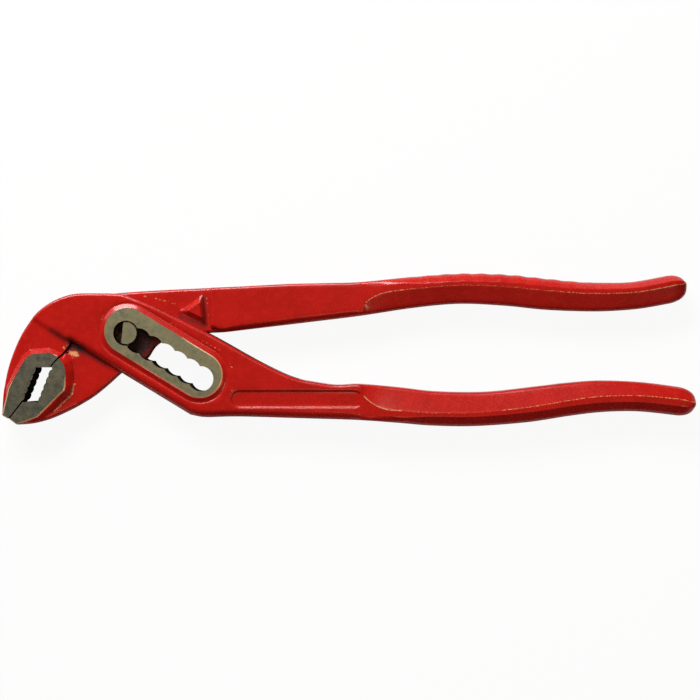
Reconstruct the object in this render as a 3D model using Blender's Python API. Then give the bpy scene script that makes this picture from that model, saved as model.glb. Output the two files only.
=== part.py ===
# Box joint water pump pliers, closed and lying flat.
# The sizes below are in millimetres, and the model is in metres.
# The origin is on the bolt's axis at the underside. +X runs along the handles, +Y points to the
# upper handle, and +Z stands on the flat tool. Both halves are symmetric about their middle plane.

import math

import bmesh
import bpy
from mathutils import Vector

MM = 0.001

# Thicknesses, measured through the whole tool
GROUND_THICKNESS = 10.5
FORGED_THICKNESS = 9.1
JAW_ROOT_THICKNESS = 7.9
WEB_THICKNESS = 4.1
HANDLE_EDGE_THICKNESS = 5.6
PANEL_DEPTH = 0.4

# Gaps between the pieces
WEB_SIDE_GAP = 0.3
CHANNEL_GAP = 0.4
BOLT_GAP = 0.2
POCKET_GAP = 0.35
SPLIT_GAP = 0.5

# How far the upper jaw and the web run past the line where the jaws part, before the cut along it
JAW_OVERLAP = 0.8
WEB_OVERLAP = 0.3

# Bolt: the flat's distance from the axis, and the way it faces
BOLT_RADIUS = 4.2
FLAT_DISTANCE = 1.4
FLAT_ANGLE = 173.7
BOLT_CHAMFER = 0.3

# Toothed slot: it starts at the bolt and slopes down towards the lower handle
POCKET_COUNT = 7
POCKET_PITCH = 5.3
SLOT_ANGLE = -31.3

# Ground boss round the slot
BOSS_MARGIN = 3.75
BOSS_SHIFT = 1.0
BOSS_SHORT = 1.1
BOSS_FOOT = 0.9

# How deep the foot of a raised pad is sunk into the surface that it stands on
FOOT_SINK = 0.1

# Recessed panel on the lower neck, centred on a point counted from the last pocket
PANEL_LENGTH = 47.5
PANEL_WIDTH = 6.0
PANEL_CENTRE = (34.8, -7.4)

# Rounding of the forged edges
EDGE_ROUND = 0.8

# Web of the inner half inside the box, as a radius round the bolt
WEB_RADIUS = 17.5
WEB_SWEEP_RADIUS = 14.1
WEB_ARC_START = 187.0
WEB_ARC_END = 130.0

# Jaw teeth, whose flat tips take this share of each pitch
TEETH = 5
TOOTH_DEPTH = 0.75
TOOTH_LAND = 0.3

# Anti-slip ripples on the upper handle's outer edge
RIPPLE_PITCH = 6.6
RIPPLE_DEPTH = 0.3
RIPPLE_START = 103.0
RIPPLE_END = 172.0

# Handle ridge: its share of the way across, and its width, at the neck and at the far end
RUN_OUT_LENGTH = 12.0
LOWER_RIDGE = (0.68, 0.42)
LOWER_RIDGE_WIDTH = (0.06, 0.24)
UPPER_RIDGE = (0.60, 0.61)
UPPER_RIDGE_WIDTH = (0.12, 0.16)
NECK_MARGIN = 0.12

# Rounded handle ends, and how much of their thickness is left at the tip
END_ROUND_LENGTH = 7.2
END_TIP_THICKNESS = 0.55
END_STEPS = 5

# Colours, as linear light
ENAMEL_RED = (0.55, 0.013, 0.013, 1.0)
GROUND_STEEL = (0.23, 0.22, 0.17, 1.0)

# Outlines: x and y of the points that the edges pass through
JAW_BACK = [
    (-45.2, -29.8), (-44.5, -20.0), (-42.9, -12.0), (-39.8, -3.6), (-36.4, 2.6), (-32.4, 7.6),
    (-27.4, 11.3), (-22.3, 13.5), (-17.8, 14.4), (-11.1, 14.5), (-3.2, 14.3), (1.6, 13.0),
]
# The box's edges, along and across the slot: counted from the bolt, then from the last pocket
BOX_UPPER_START = [(6.2, 13.7), (26.2, 15.5)]
BOX_UPPER_END = [(12.7, 16.2), (23.7, 17.1)]
BOX_LOWER_CORNER = [(7.0, -12.0), (3.4, -13.3)]
BOX_CROTCH = (-15.7, -13.3)

# Lower neck and handle, as x and y from the last pocket
LOWER_NECK_INNER = [(35.5, -0.1), (41.6, -1.3), (49.3, -2.3)]
LOWER_NECK_OUTER = [(35.5, -14.4), (14.2, -13.8)]
LOWER_HANDLE = [
    ((57.6, -2.0), (57.6, -15.1)), ((71.5, -3.2), (71.5, -16.1)), ((85.3, -4.7), (83.8, -17.1)),
    ((103.2, -4.9), (99.8, -17.3)), ((121.5, -3.0), (118.8, -15.9)), ((133.3, -1.6), (133.3, -13.7)),
    ((145.4, -0.8), (145.8, -12.2)), ((160.3, -1.4), (158.8, -11.9)), ((173.9, -3.1), (172.1, -13.2)),
]

# Upper neck and handle, as x and y from the bolt
UPPER_NECK_OUTER = [(41.4, 17.0), (58.8, 17.9), (71.0, 18.2)]
UPPER_NECK_INNER = [(65.5, 4.1), (48.8, 2.1)]
UPPER_HANDLE = [
    ((84.9, 6.5), (84.9, 18.6)), ((104.3, 9.4), (102.5, 20.4)), ((121.0, 10.9), (120.5, 21.8)),
    ((137.6, 10.2), (137.6, 21.5)), ((151.5, 8.8), (151.5, 20.1)), ((164.2, 8.2), (164.2, 18.8)),
    ((175.0, 8.2), (174.5, 18.4)), ((187.0, 9.1), (184.5, 18.7)), ((198.0, 11.0), (195.8, 20.7)),
]

# The step where the web thickens into the upper neck, and the clearances above the box's edge
STEP_X = 30.4
STEP_TOP = 16.6
NECK_FOOT_RUN = 5.1
NECK_GAP = 0.6
STOP_GAP = 0.5

# Web of the inner half, with its root inside the neck counted from the step
WEB_TOP = [(-2.6, 14.7), (12.7, 15.7), (29.9, 16.5)]
WEB_ROOT = [(3.6, 15.9), (9.6, 15.0), (9.6, 3.0), (4.8, 1.1)]
WEB_BOTTOM = [
    (29.0, 0.2), (12.7, -3.1), (7.3, -9.0), (3.0, -11.6), (-1.7, -14.0), (-6.7, -18.4), (-12.1, -22.8),
    (-17.6, -26.2),
]
JAW_BELLY = [(-21.0, -28.0), (-26.7, -30.6), (-31.6, -32.1), (-34.0, -31.4)]
WEB_IN_JAW = [(-34.0, -26.0), (-27.5, -16.0), (-25.0, -10.2)]

# Line where the jaws meet: crotch, then mouth, then tip
SPLIT_CROTCH = [(-19.9, -3.9), (-21.9, -6.2), (-24.4, -8.8), (-26.9, -11.6)]
SPLIT_TIP = [(-37.6, -24.85), (-42.5, -31.1)]
UPPER_TEETH = [(-33.1, -12.4), (-37.9, -24.3)]
LOWER_TEETH = [(-26.7, -13.4), (-31.3, -25.2)]
MOUTH_FLOOR = [(-33.3, -24.8), (-35.7, -24.9)]

# Ground pads on the jaws, and the feet of their sloping sides
UPPER_PAD = [
    (-44.9, -29.7), (-42.5, -19.7), (-39.2, -14.1), (-36.3, -9.1), (-34.1, -7.6), (-28.2, -7.0),
    (-24.8, -8.2), (-24.0, -9.4), (-42.0, -31.6),
]
UPPER_PAD_FOOT = [
    (-44.9, -29.8), (-43.5, -19.3), (-40.5, -13.3), (-37.4, -8.0), (-34.7, -6.1), (-28.0, -5.5),
    (-23.0, -7.4), (-22.6, -8.0), (-42.0, -31.8),
]
LOWER_PAD = [
    (-42.5, -30.9), (-39.7, -33.0), (-36.6, -32.1), (-32.0, -30.4), (-26.2, -24.5), (-22.5, -21.0),
    (-21.9, -19.2), (-21.9, -14.1), (-22.5, -11.3), (-23.9, -9.4), (-25.0, -8.8), (-38.2, -24.8),
]
LOWER_PAD_FOOT = [
    (-42.5, -30.9), (-39.6, -33.2), (-35.8, -32.9), (-32.3, -32.4), (-26.2, -28.4), (-20.6, -21.6),
    (-19.5, -19.2), (-19.3, -13.6), (-19.9, -9.9), (-21.6, -7.2), (-22.4, -6.4), (-38.2, -24.8),
]

# The upper jaw's surface steps down on the tip side of this line
JAW_STEP = [(-18.0, -4.6), (-36.9, 6.9)]

# Stop beside the box: its peak, and its feet's places along the slot, and how far its sides slope
STOP_PEAK = (16.2, 26.5)
STOP_FEET = (23.8, 12.0)
STOP_SLOPE = 0.75

# Corners of the cutters that lie clear of the pieces
JAW_STEP_BEYOND = [(-13.0, -12.0), (-40.0, -45.0), (-60.0, -30.0), (-55.0, 10.0)]
UPPER_SPLIT_BEYOND = [(-46.5, -36.2), (-36.0, -46.0), (-8.0, -30.0), (-13.5, -9.6)]
LOWER_SPLIT_BEYOND = [(-46.0, -35.6), (-60.0, -30.0), (-52.0, 12.0), (-24.0, 6.0), (-21.0, -2.0)]
CHANNEL_ABOVE = [(-20.0, 30.0), (50.0, 30.0)]
CHANNEL_AHEAD = (7.0, 7.0)
CHANNEL_BELOW = [(14.8, -14.0), (16.0, -20.0)]
CHANNEL_BELOW_BOLT = [(10.0, -22.0), (-12.0, -14.5)]


def slot_point(along, across):
    """A point of the box, given along and across the slot from the bolt."""
    angle = math.radians(SLOT_ANGLE)
    x = along * math.cos(angle) - across * math.sin(angle)
    y = along * math.sin(angle) + across * math.cos(angle)
    return (x, y)


POCKET_RADIUS = BOLT_RADIUS + POCKET_GAP
SLOT_TRAVEL = POCKET_PITCH * (POCKET_COUNT - 1)
SLOT_SHIFT = slot_point(SLOT_TRAVEL, 0.0)
MIDDLE = GROUND_THICKNESS / 2


def mix(low, high, share):
    return low + (high - low) * share


def shifted(point, by):
    return (point[0] + by[0], point[1] + by[1])


def from_last_pocket(points):
    return [shifted(point, SLOT_SHIFT) for point in points]


def height_between(start, stop, x):
    """The y at x of the straight line from start to stop."""
    return mix(start[1], stop[1], (x - start[0]) / (stop[0] - start[0]))


def smooth(points, steps=4):
    """A curve through the points, as the points of its short straight pieces."""
    ends = [points[0]] + list(points) + [points[-1]]
    curve = []
    for before, start, stop, after in zip(ends, ends[1:], ends[2:], ends[3:]):
        for step in range(steps):
            t = step / steps
            point = []
            for a, b, c, d in zip(before, start, stop, after):
                value = 2 * b + (c - a) * t + (2 * a - 5 * b + 4 * c - d) * t**2 + (3 * b - a - 3 * c + d) * t**3
                point.append(value / 2)
            curve.append(tuple(point))
    curve.append(tuple(points[-1]))
    return curve


def arc(centre, radius, start, stop, count):
    """Points on a circle, from one angle in degrees to another."""
    points = []
    for step in range(count + 1):
        angle = math.radians(start + (stop - start) * step / count)
        points.append((centre[0] + radius * math.cos(angle), centre[1] + radius * math.sin(angle)))
    return points


def circle(radius):
    """A round outline on the bolt's axis."""
    return arc((0.0, 0.0), radius, 0, 360, 48)[:-1]


def stadium(start, stop, radius, count=20):
    """A slot-shaped outline round the line from start to stop."""
    heading = math.degrees(math.atan2(stop[1] - start[1], stop[0] - start[0]))
    return arc(stop, radius, heading - 90, heading + 90, count) + arc(start, radius, heading + 90, heading + 270, count)


def offset_line(points, gap):
    """Points moved sideways by gap, to the left of the way that the line runs."""
    moved = []
    for index, point in enumerate(points):
        before = Vector(points[max(index - 1, 0)])
        after = Vector(points[min(index + 1, len(points) - 1)])
        heading = (after - before).normalized()
        moved.append((point[0] - heading.y * gap, point[1] + heading.x * gap))
    return moved


def tooth_line(start, stop, depth):
    """A zigzag from start to stop, whose tips stand out by depth to the left."""
    start = Vector(start)
    stop = Vector(stop)
    run = (stop - start) / TEETH
    side = Vector((-run.y, run.x)).normalized() * depth
    points = [tuple(start)]
    for tooth in range(TEETH):
        root = start + run * tooth
        points.append(tuple(root + run * (1 - TOOTH_LAND) / 2 + side))
        points.append(tuple(root + run * (1 + TOOTH_LAND) / 2 + side))
        points.append(tuple(root + run))
    return points


def solid_from_rings(name, rings):
    """A closed mesh through rings of points, each ring an outline with its own height."""
    mesh = bpy.data.meshes.new(name)
    shape = bmesh.new()
    made = []
    for outline, height in rings:
        made.append([shape.verts.new((x * MM, y * MM, height * MM)) for x, y in outline])
    count = len(made[0])
    shape.faces.new(made[0])
    shape.faces.new(made[-1])
    for low, high in zip(made, made[1:]):
        for index in range(count):
            after = (index + 1) % count
            shape.faces.new((low[index], low[after], high[after], high[index]))
    bmesh.ops.recalc_face_normals(shape, faces=shape.faces)
    shape.to_mesh(mesh)
    shape.free()
    return mesh


def prism(name, outline, thickness):
    """A plate of one outline, centred on the middle plane."""
    return solid_from_rings(name, [(outline, MIDDLE - thickness / 2), (outline, MIDDLE + thickness / 2)])


def raised_pad(name, top, foot, thickness, ground):
    """A pad that stands out on both faces of a plate, with sloping sides down to its surface."""
    sunk = ground / 2 - FOOT_SINK
    rings = [
        (top, MIDDLE - thickness / 2),
        (foot, MIDDLE - sunk),
        (foot, MIDDLE + sunk),
        (top, MIDDLE + thickness / 2),
    ]
    return solid_from_rings(name, rings)


def face_recess(name, outline, thickness):
    """Two blocks that leave only the given thickness between them."""
    above = solid_from_rings(name, [(outline, MIDDLE + thickness / 2), (outline, MIDDLE + GROUND_THICKNESS)])
    shape = bmesh.new()
    shape.from_mesh(above)
    copy = bmesh.ops.duplicate(shape, geom=shape.verts[:] + shape.edges[:] + shape.faces[:])["geom"]
    moved = [item for item in copy if isinstance(item, bmesh.types.BMVert)]
    for vertex in moved:
        vertex.co.z = 2 * MIDDLE * MM - vertex.co.z
    bmesh.ops.reverse_faces(shape, faces=[item for item in copy if isinstance(item, bmesh.types.BMFace)])
    shape.to_mesh(above)
    shape.free()
    return above


def place(name, mesh):
    item = bpy.data.objects.new(name, mesh)
    bpy.context.scene.collection.objects.link(item)
    return item


def combine(target, name, operation, meshes):
    """Adds the meshes to the target, or takes them away, with one exact Boolean."""
    tools = bpy.data.collections.new(name)
    bpy.context.scene.collection.children.link(tools)
    for mesh in meshes:
        tool = bpy.data.objects.new(mesh.name, mesh)
        tool.hide_render = True
        tool.display_type = "WIRE"
        tool.parent = target
        tools.objects.link(tool)
    modifier = target.modifiers.new(name, "BOOLEAN")
    modifier.operation = operation
    modifier.solver = "EXACT"
    modifier.operand_type = "COLLECTION"
    modifier.collection = tools


def round_edges(target):
    """Rounds the edges that carry a bevel weight."""
    modifier = target.modifiers.new("forged_edges", "BEVEL")
    modifier.limit_method = "WEIGHT"
    modifier.width = EDGE_ROUND * MM
    modifier.segments = 2


def weigh_edges(shape, corners):
    """Gives a bevel weight to the sharp edges between these corners, except the upright ones."""
    weights = shape.edges.layers.float.new("bevel_weight_edge")
    for edge in shape.edges:
        low, high = edge.verts
        upright = abs(low.co.z - high.co.z) > FORGED_THICKNESS / 2 * MM
        if low in corners and high in corners and not upright and edge.calc_face_angle() > math.radians(38):
            edge[weights] = 1.0


def material(name, colour, roughness, metallic):
    finish = bpy.data.materials.new(name)
    finish.use_nodes = True
    shader = finish.node_tree.nodes["Principled BSDF"]
    shader.inputs["Base Color"].default_value = colour
    shader.inputs["Roughness"].default_value = roughness
    shader.inputs["Metallic"].default_value = metallic
    return finish


def finish_part(target, finish):
    target.data.materials.append(finish)
    target.data.shade_smooth()
    target.data.set_sharp_from_angle(angle=math.radians(25))


def ripple(x):
    """Depth of the anti-slip waves at x, fading out at both ends."""
    if not RIPPLE_START < x < RIPPLE_END:
        return 0.0
    share = (x - RIPPLE_START) / (RIPPLE_END - RIPPLE_START)
    fade = math.sin(math.pi * share) ** 0.5
    return RIPPLE_DEPTH * fade * (1 - math.cos(2 * math.pi * (x - RIPPLE_START) / RIPPLE_PITCH)) / 2


def handle_sections(pairs, ridge, ridge_width, steps, rippled=False):
    """Cross-sections along a handle: inner edge, ridge, ridge, outer edge, as points and half heights."""
    inner_edge = smooth([inner for inner, outer in pairs], steps)
    outer_edge = smooth([outer for inner, outer in pairs], steps)
    last = len(inner_edge) - 1
    sections = []
    for index in range(last + 1):
        inner = Vector(inner_edge[index])
        outer = Vector(outer_edge[index])
        if rippled:
            outer.y -= ripple(outer.x)
        share = index / last
        run_out = min(max((inner.x - inner_edge[0][0]) / RUN_OUT_LENGTH, 0.0), 1.0)
        rise = math.sqrt(1 - (1 - run_out) ** 2)
        near = mix(ridge[0], ridge[1], share)
        far = near + mix(ridge_width[0], ridge_width[1], share)
        first = mix(NECK_MARGIN, near, rise)
        second = mix(1 - NECK_MARGIN, far, rise)
        edge = mix(FORGED_THICKNESS, HANDLE_EDGE_THICKNESS, rise) / 2
        top = mix(FORGED_THICKNESS, GROUND_THICKNESS, run_out) / 2
        sections.append([(inner, edge), (inner.lerp(outer, first), top), (inner.lerp(outer, second), top), (outer, edge)])
    return sections


def rounded_end(section):
    """Sections that close a handle with a rounded end."""
    centre = (section[0][0] + section[3][0]) / 2
    across = (section[3][0] - section[0][0]).normalized()
    heading = Vector((abs(across.y), -across.x * math.copysign(1, across.y)))
    sections = []
    for step in range(1, END_STEPS + 1):
        turn = math.pi / 2 * step / (END_STEPS + 0.5)
        shrink = math.cos(turn)
        ahead = heading * END_ROUND_LENGTH * math.sin(turn)
        flatter = mix(END_TIP_THICKNESS, 1, shrink)
        sections.append([(centre + (point - centre) * shrink + ahead, height * flatter) for point, height in section])
    return sections


def half_with_handle(name, outline, sections):
    """A plate whose handle grows out of its last edge, through the sections to a rounded end."""
    mesh = bpy.data.meshes.new(name)
    shape = bmesh.new()

    def vertex(point, height):
        return shape.verts.new((point[0] * MM, point[1] * MM, (MIDDLE + height) * MM))

    def grow(ring, section):
        top_line = [vertex(point, height) for point, height in section]
        bottom_line = [vertex(point, -height) for point, height in section]
        grown = top_line + bottom_line[::-1]
        for index in range(len(ring)):
            after = (index + 1) % len(ring)
            shape.faces.new((ring[index], ring[after], grown[after], grown[index]))
        return grown

    half = FORGED_THICKNESS / 2
    top = [vertex(point, half) for point in outline]
    bottom = [vertex(point, -half) for point in outline]
    top_joint = [vertex(point, half) for point, height in sections[0]]
    bottom_joint = [vertex(point, -half) for point, height in sections[0]]
    shape.faces.new(top + top_joint)
    shape.faces.new(bottom + bottom_joint)
    top_edge = [top_joint[-1]] + top + [top_joint[0]]
    bottom_edge = [bottom_joint[-1]] + bottom + [bottom_joint[0]]
    for index in range(len(top_edge) - 1):
        shape.faces.new((top_edge[index], top_edge[index + 1], bottom_edge[index + 1], bottom_edge[index]))
    ring = top_joint + bottom_joint[::-1]
    for section in sections[1:]:
        ring = grow(ring, section)
    corners = set(shape.verts)
    for section in rounded_end(sections[-1]):
        ring = grow(ring, section)
    shape.faces.new(ring)
    bmesh.ops.recalc_face_normals(shape, faces=shape.faces)
    weigh_edges(shape, corners)
    shape.to_mesh(mesh)
    shape.free()
    return mesh


def toothed_slot():
    """Outline of the slot: equal round pockets that overlap, so that cusps stand between them."""
    lean = math.degrees(math.acos(POCKET_PITCH / 2 / POCKET_RADIUS))
    points = []
    for pocket in range(POCKET_COUNT):
        centre = slot_point(pocket * POCKET_PITCH, 0.0)
        first = 180 if pocket == 0 else 180 - lean
        last = 0 if pocket == POCKET_COUNT - 1 else lean
        points += arc(centre, POCKET_RADIUS, SLOT_ANGLE + first, SLOT_ANGLE + last, 10)[:-1]
    for pocket in reversed(range(POCKET_COUNT)):
        centre = slot_point(pocket * POCKET_PITCH, 0.0)
        first = 0 if pocket == POCKET_COUNT - 1 else -lean
        last = -180 if pocket == 0 else lean - 180
        points += arc(centre, POCKET_RADIUS, SLOT_ANGLE + first, SLOT_ANGLE + last, 10)[:-1]
    return points


def boss_outline(extra):
    start = slot_point(0.0, BOSS_SHIFT)
    stop = slot_point(SLOT_TRAVEL - BOSS_SHORT, BOSS_SHIFT)
    return stadium(start, stop, POCKET_RADIUS + BOSS_MARGIN + extra)


def box_upper_end():
    """The two far points of the box's upper edge, as x and y."""
    return [slot_point(SLOT_TRAVEL + along, across) for along, across in BOX_UPPER_END]


def neck_step():
    """Foot of the step and of the neck behind it, which clear the box's edge when the slot is used up."""
    edge = [box_upper_end()[-1], *from_last_pocket(LOWER_NECK_INNER)]
    clear = [shifted(point, (-SLOT_SHIFT[0], NECK_GAP - SLOT_SHIFT[1])) for point in edge]
    foot_x = STEP_X + NECK_FOOT_RUN
    return [(foot_x, height_between(clear[1], clear[2], foot_x)), (STEP_X, height_between(clear[0], clear[1], STEP_X))]


def channel_outline():
    """The gap between the box walls. The web turns and slides in it, and it is open along both edges."""
    left = arc((0.0, 0.0), WEB_RADIUS + CHANNEL_GAP, WEB_ARC_START - 4, WEB_ARC_END - 2, 12)
    right = arc((0.0, 0.0), WEB_SWEEP_RADIUS + CHANNEL_GAP, -15, -30, 3)
    neck_foot, step_foot = neck_step()
    web_foot = [(neck_foot[0], neck_foot[1] - NECK_GAP), (WEB_BOTTOM[0][0], WEB_BOTTOM[0][1] - NECK_GAP)]
    return [
        slot_point(*BOX_CROTCH),
        *left,
        *[slot_point(*point) for point in CHANNEL_ABOVE],
        *from_last_pocket([shifted(neck_foot, CHANNEL_AHEAD), *web_foot, *right, *CHANNEL_BELOW]),
        *[slot_point(*point) for point in CHANNEL_BELOW_BOLT],
    ]


def upper_jaw_split():
    """Everything on the lower jaw's side of the upper jaw: crotch, mouth with its teeth, and tip."""
    crotch = offset_line(SPLIT_CROTCH, -SPLIT_GAP / 2)
    tip = offset_line(SPLIT_TIP, -SPLIT_GAP / 2)
    teeth = tooth_line(UPPER_TEETH[0], UPPER_TEETH[1], TOOTH_DEPTH)
    corner = (crotch[-1][0], UPPER_TEETH[0][1])
    return [slot_point(*BOX_CROTCH), *crotch[1:], corner, *teeth, *tip, *UPPER_SPLIT_BEYOND]


def lower_jaw_split():
    """Everything on the upper jaw's side of the lower jaw."""
    crotch = offset_line(SPLIT_CROTCH, SPLIT_GAP / 2)
    tip = offset_line(SPLIT_TIP, SPLIT_GAP / 2)
    teeth = tooth_line(LOWER_TEETH[0], LOWER_TEETH[1], -TOOTH_DEPTH)
    return [*crotch, *teeth, *MOUTH_FLOOR, *tip, *LOWER_SPLIT_BEYOND]


def panel_outline():
    reach = (PANEL_LENGTH - PANEL_WIDTH) / 2
    centre = shifted(PANEL_CENTRE, SLOT_SHIFT)
    return stadium(shifted(centre, (-reach, 0.0)), shifted(centre, (reach, 0.0)), PANEL_WIDTH / 2, 10)


def slotted_half_outline(handle_start):
    """Outline of the plate: outer neck, box corner, crotch, jaw, box and inner neck."""
    corner = [slot_point(SLOT_TRAVEL + along, across) for along, across in BOX_LOWER_CORNER]
    jaw_edge = offset_line(SPLIT_CROTCH, JAW_OVERLAP) + offset_line(SPLIT_TIP, JAW_OVERLAP)
    upper_edge = [slot_point(*point) for point in BOX_UPPER_START] + box_upper_end()
    neck = smooth([upper_edge[-1], *from_last_pocket(LOWER_NECK_INNER), handle_start], 3)
    return [
        *from_last_pocket(LOWER_NECK_OUTER),
        *corner,
        slot_point(*BOX_CROTCH),
        *jaw_edge[1:],
        *smooth(JAW_BACK, 2),
        *upper_edge,
        *neck[1:-1],
    ]


def make_slotted_half(finish):
    """Upper jaw, box with the toothed slot, and lower handle, forged as one."""
    pairs = [from_last_pocket(pair) for pair in LOWER_HANDLE]
    sections = handle_sections(pairs, LOWER_RIDGE, LOWER_RIDGE_WIDTH, 4)
    outline = slotted_half_outline(pairs[0][0])
    half = place("slotted_half", half_with_handle("slotted_half", outline, sections))
    round_edges(half)
    step = [JAW_STEP[0], *JAW_STEP_BEYOND, JAW_STEP[1]]
    combine(half, "jaw_surface", "DIFFERENCE", [face_recess("jaw_step", step, JAW_ROOT_THICKNESS)])
    pad = raised_pad("upper_pad", UPPER_PAD, UPPER_PAD_FOOT, GROUND_THICKNESS, JAW_ROOT_THICKNESS)
    boss = raised_pad("slot_boss", boss_outline(0.0), boss_outline(BOSS_FOOT), GROUND_THICKNESS, FORGED_THICKNESS)
    combine(half, "ground_faces", "UNION", [pad, boss])
    slot = prism("toothed_slot", toothed_slot(), 2 * GROUND_THICKNESS)
    channel = prism("box_channel", channel_outline(), WEB_THICKNESS + 2 * WEB_SIDE_GAP)
    split = prism("upper_split", upper_jaw_split(), 2 * GROUND_THICKNESS)
    panel = face_recess("neck_panel", panel_outline(), FORGED_THICKNESS - 2 * PANEL_DEPTH)
    combine(half, "slotted_half_cuts", "DIFFERENCE", [slot, channel, split, panel])
    finish_part(half, finish)
    return half


def stop_outline(slope):
    """The triangular stop's outline beside the box's edge, drawn in towards its middle by slope."""
    feet = []
    for along, edge in zip(STOP_FEET, reversed(BOX_UPPER_END)):
        feet.append((along, edge[1] + STOP_GAP))
    corners = [Vector(slot_point(*corner)) for corner in [STOP_PEAK, *feet]]
    middle = sum(corners, Vector((0.0, 0.0))) / len(corners)
    radius = sum((corner - middle).length for corner in corners) / len(corners)
    return [tuple(middle + (corner - middle) * (1 - 2 * slope / radius)) for corner in corners]


def web_outline():
    """Outline of the web. Its edges under the jaw and inside the neck are hidden in them."""
    crotch = offset_line(SPLIT_CROTCH[::-1], WEB_OVERLAP)
    return [
        *arc((0.0, 0.0), WEB_RADIUS, WEB_ARC_START, WEB_ARC_END, 12),
        *WEB_TOP,
        *[(STEP_X + x, y) for x, y in WEB_ROOT],
        *WEB_BOTTOM,
        *JAW_BELLY,
        *WEB_IN_JAW,
        *crotch[2:],
    ]


def make_inner_half(finish):
    """Lower jaw, thin web through the box, triangular stop and upper handle, forged as one."""
    sections = handle_sections(UPPER_HANDLE, UPPER_RIDGE, UPPER_RIDGE_WIDTH, 6, rippled=True)
    sections = [section[::-1] for section in sections]
    outline = [*UPPER_NECK_INNER, *neck_step(), (STEP_X, STEP_TOP), *UPPER_NECK_OUTER]
    half = place("inner_half", half_with_handle("inner_half", outline, sections))
    round_edges(half)
    web = prism("web", web_outline(), WEB_THICKNESS)
    jaw = raised_pad("lower_pad", LOWER_PAD, LOWER_PAD_FOOT, GROUND_THICKNESS, WEB_THICKNESS)
    stop = raised_pad("finger_stop", stop_outline(STOP_SLOPE), stop_outline(0.0), FORGED_THICKNESS, WEB_THICKNESS)
    combine(half, "web_jaw_and_stop", "UNION", [web, jaw, stop])
    split = prism("lower_split", lower_jaw_split(), 2 * GROUND_THICKNESS)
    hole = prism("bolt_hole", circle(BOLT_RADIUS + BOLT_GAP), 2 * WEB_THICKNESS)
    combine(half, "inner_half_cuts", "DIFFERENCE", [split, hole])
    finish_part(half, finish)
    return half


def make_pivot_bolt(finish):
    """Round in the web, with a flat on each end where it sits in the slotted walls."""
    rings = [
        (circle(BOLT_RADIUS - BOLT_CHAMFER), 0.0),
        (circle(BOLT_RADIUS), BOLT_CHAMFER),
        (circle(BOLT_RADIUS), GROUND_THICKNESS - BOLT_CHAMFER),
        (circle(BOLT_RADIUS - BOLT_CHAMFER), GROUND_THICKNESS),
    ]
    bolt = place("pivot_bolt", solid_from_rings("pivot_bolt", rings))
    facing = math.radians(FLAT_ANGLE)
    out = Vector((math.cos(facing), math.sin(facing)))
    along = Vector((-out.y, out.x))
    size = 2 * BOLT_RADIUS
    near = out * FLAT_DISTANCE
    far = out * (FLAT_DISTANCE + size)
    flat = [tuple(near - along * size), tuple(far - along * size), tuple(far + along * size), tuple(near + along * size)]
    combine(bolt, "bolt_cuts", "DIFFERENCE", [face_recess("bolt_flats", flat, WEB_THICKNESS + 2 * WEB_SIDE_GAP)])
    finish_part(bolt, finish)
    return bolt


def main():
    for item in list(bpy.data.objects):
        bpy.data.objects.remove(item, do_unlink=True)
    slotted_half = make_slotted_half(material("red_enamel_slotted_half", ENAMEL_RED, 0.22, 0.0))
    inner_half = make_inner_half(material("red_enamel_inner_half", ENAMEL_RED, 0.22, 0.0))
    pivot_bolt = make_pivot_bolt(material("ground_steel_bolt", GROUND_STEEL, 0.38, 1.0))
    pivot_bolt.parent = slotted_half
    inner_half.parent = pivot_bolt


main()
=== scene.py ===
# Box joint water pump pliers: the finish of every surface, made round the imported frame
import math

import bmesh
import bpy
import numpy as np
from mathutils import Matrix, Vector, kdtree, noise
from mathutils.geometry import delaunay_2d_cdt


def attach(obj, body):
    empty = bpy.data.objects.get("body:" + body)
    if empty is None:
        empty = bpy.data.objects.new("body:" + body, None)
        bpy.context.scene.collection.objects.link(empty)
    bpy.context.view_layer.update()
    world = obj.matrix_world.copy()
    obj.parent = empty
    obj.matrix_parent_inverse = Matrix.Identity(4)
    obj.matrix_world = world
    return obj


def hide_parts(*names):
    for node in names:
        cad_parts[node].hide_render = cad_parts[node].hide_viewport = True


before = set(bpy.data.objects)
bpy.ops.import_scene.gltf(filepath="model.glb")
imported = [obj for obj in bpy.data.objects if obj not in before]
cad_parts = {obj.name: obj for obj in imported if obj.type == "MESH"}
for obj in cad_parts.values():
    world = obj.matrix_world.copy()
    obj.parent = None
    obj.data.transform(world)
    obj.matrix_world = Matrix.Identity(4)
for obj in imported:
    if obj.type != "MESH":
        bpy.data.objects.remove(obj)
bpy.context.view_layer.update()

mm = 0.001
curveSteps = 10          # points on a curve between two that it goes through
onLine = 0.02            # a point this near a line counts as on it
stillInside = 0.96       # a line moved inwards keeps the points that lie this share of the way from the edge
batch = 3000             # places worked out together
midHeight = 5.25         # millimetres from the underside to the middle plane

# Plan shapes are in millimetres, as x and y from the bolt, the same as the frame
box = {
    "slotAngle": -31.3,
    "pocketPitch": 5.3,
    "pockets": 7,
    "pocketRadius": 4.55,
    "pocketSteps": 16,
    "bossRadius": 8.3,
    "bossShift": 1.0,     # the raised rim sits off the slot's line by this
    "bossShort": 1.1,
    "bossFoot": 2.1,      # paint fills the foot of the boss out to here
    "bossFall": 1.5,
    "bossGroove": 0.16,   # and a shallow groove goes round it
    "grooveFrom": 0.25,   # shares of the foot where the groove begins and ends, and how soon it is deep
    "grooveEnd": 1.06,
    "grooveIn": 0.5,
    "grooveOut": 0.16,
}


def slotPoint(along, across):
    cos = math.cos(math.radians(box["slotAngle"]))
    sin = math.sin(math.radians(box["slotAngle"]))
    return (along * cos - across * sin, along * sin + across * cos)


# Places as distances along and across the slot
def slotFrame(points):
    angle = math.radians(box["slotAngle"])
    x = points[:, 0]
    y = points[:, 1]
    return x * math.cos(angle) + y * math.sin(angle), y * math.cos(angle) - x * math.sin(angle)


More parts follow.
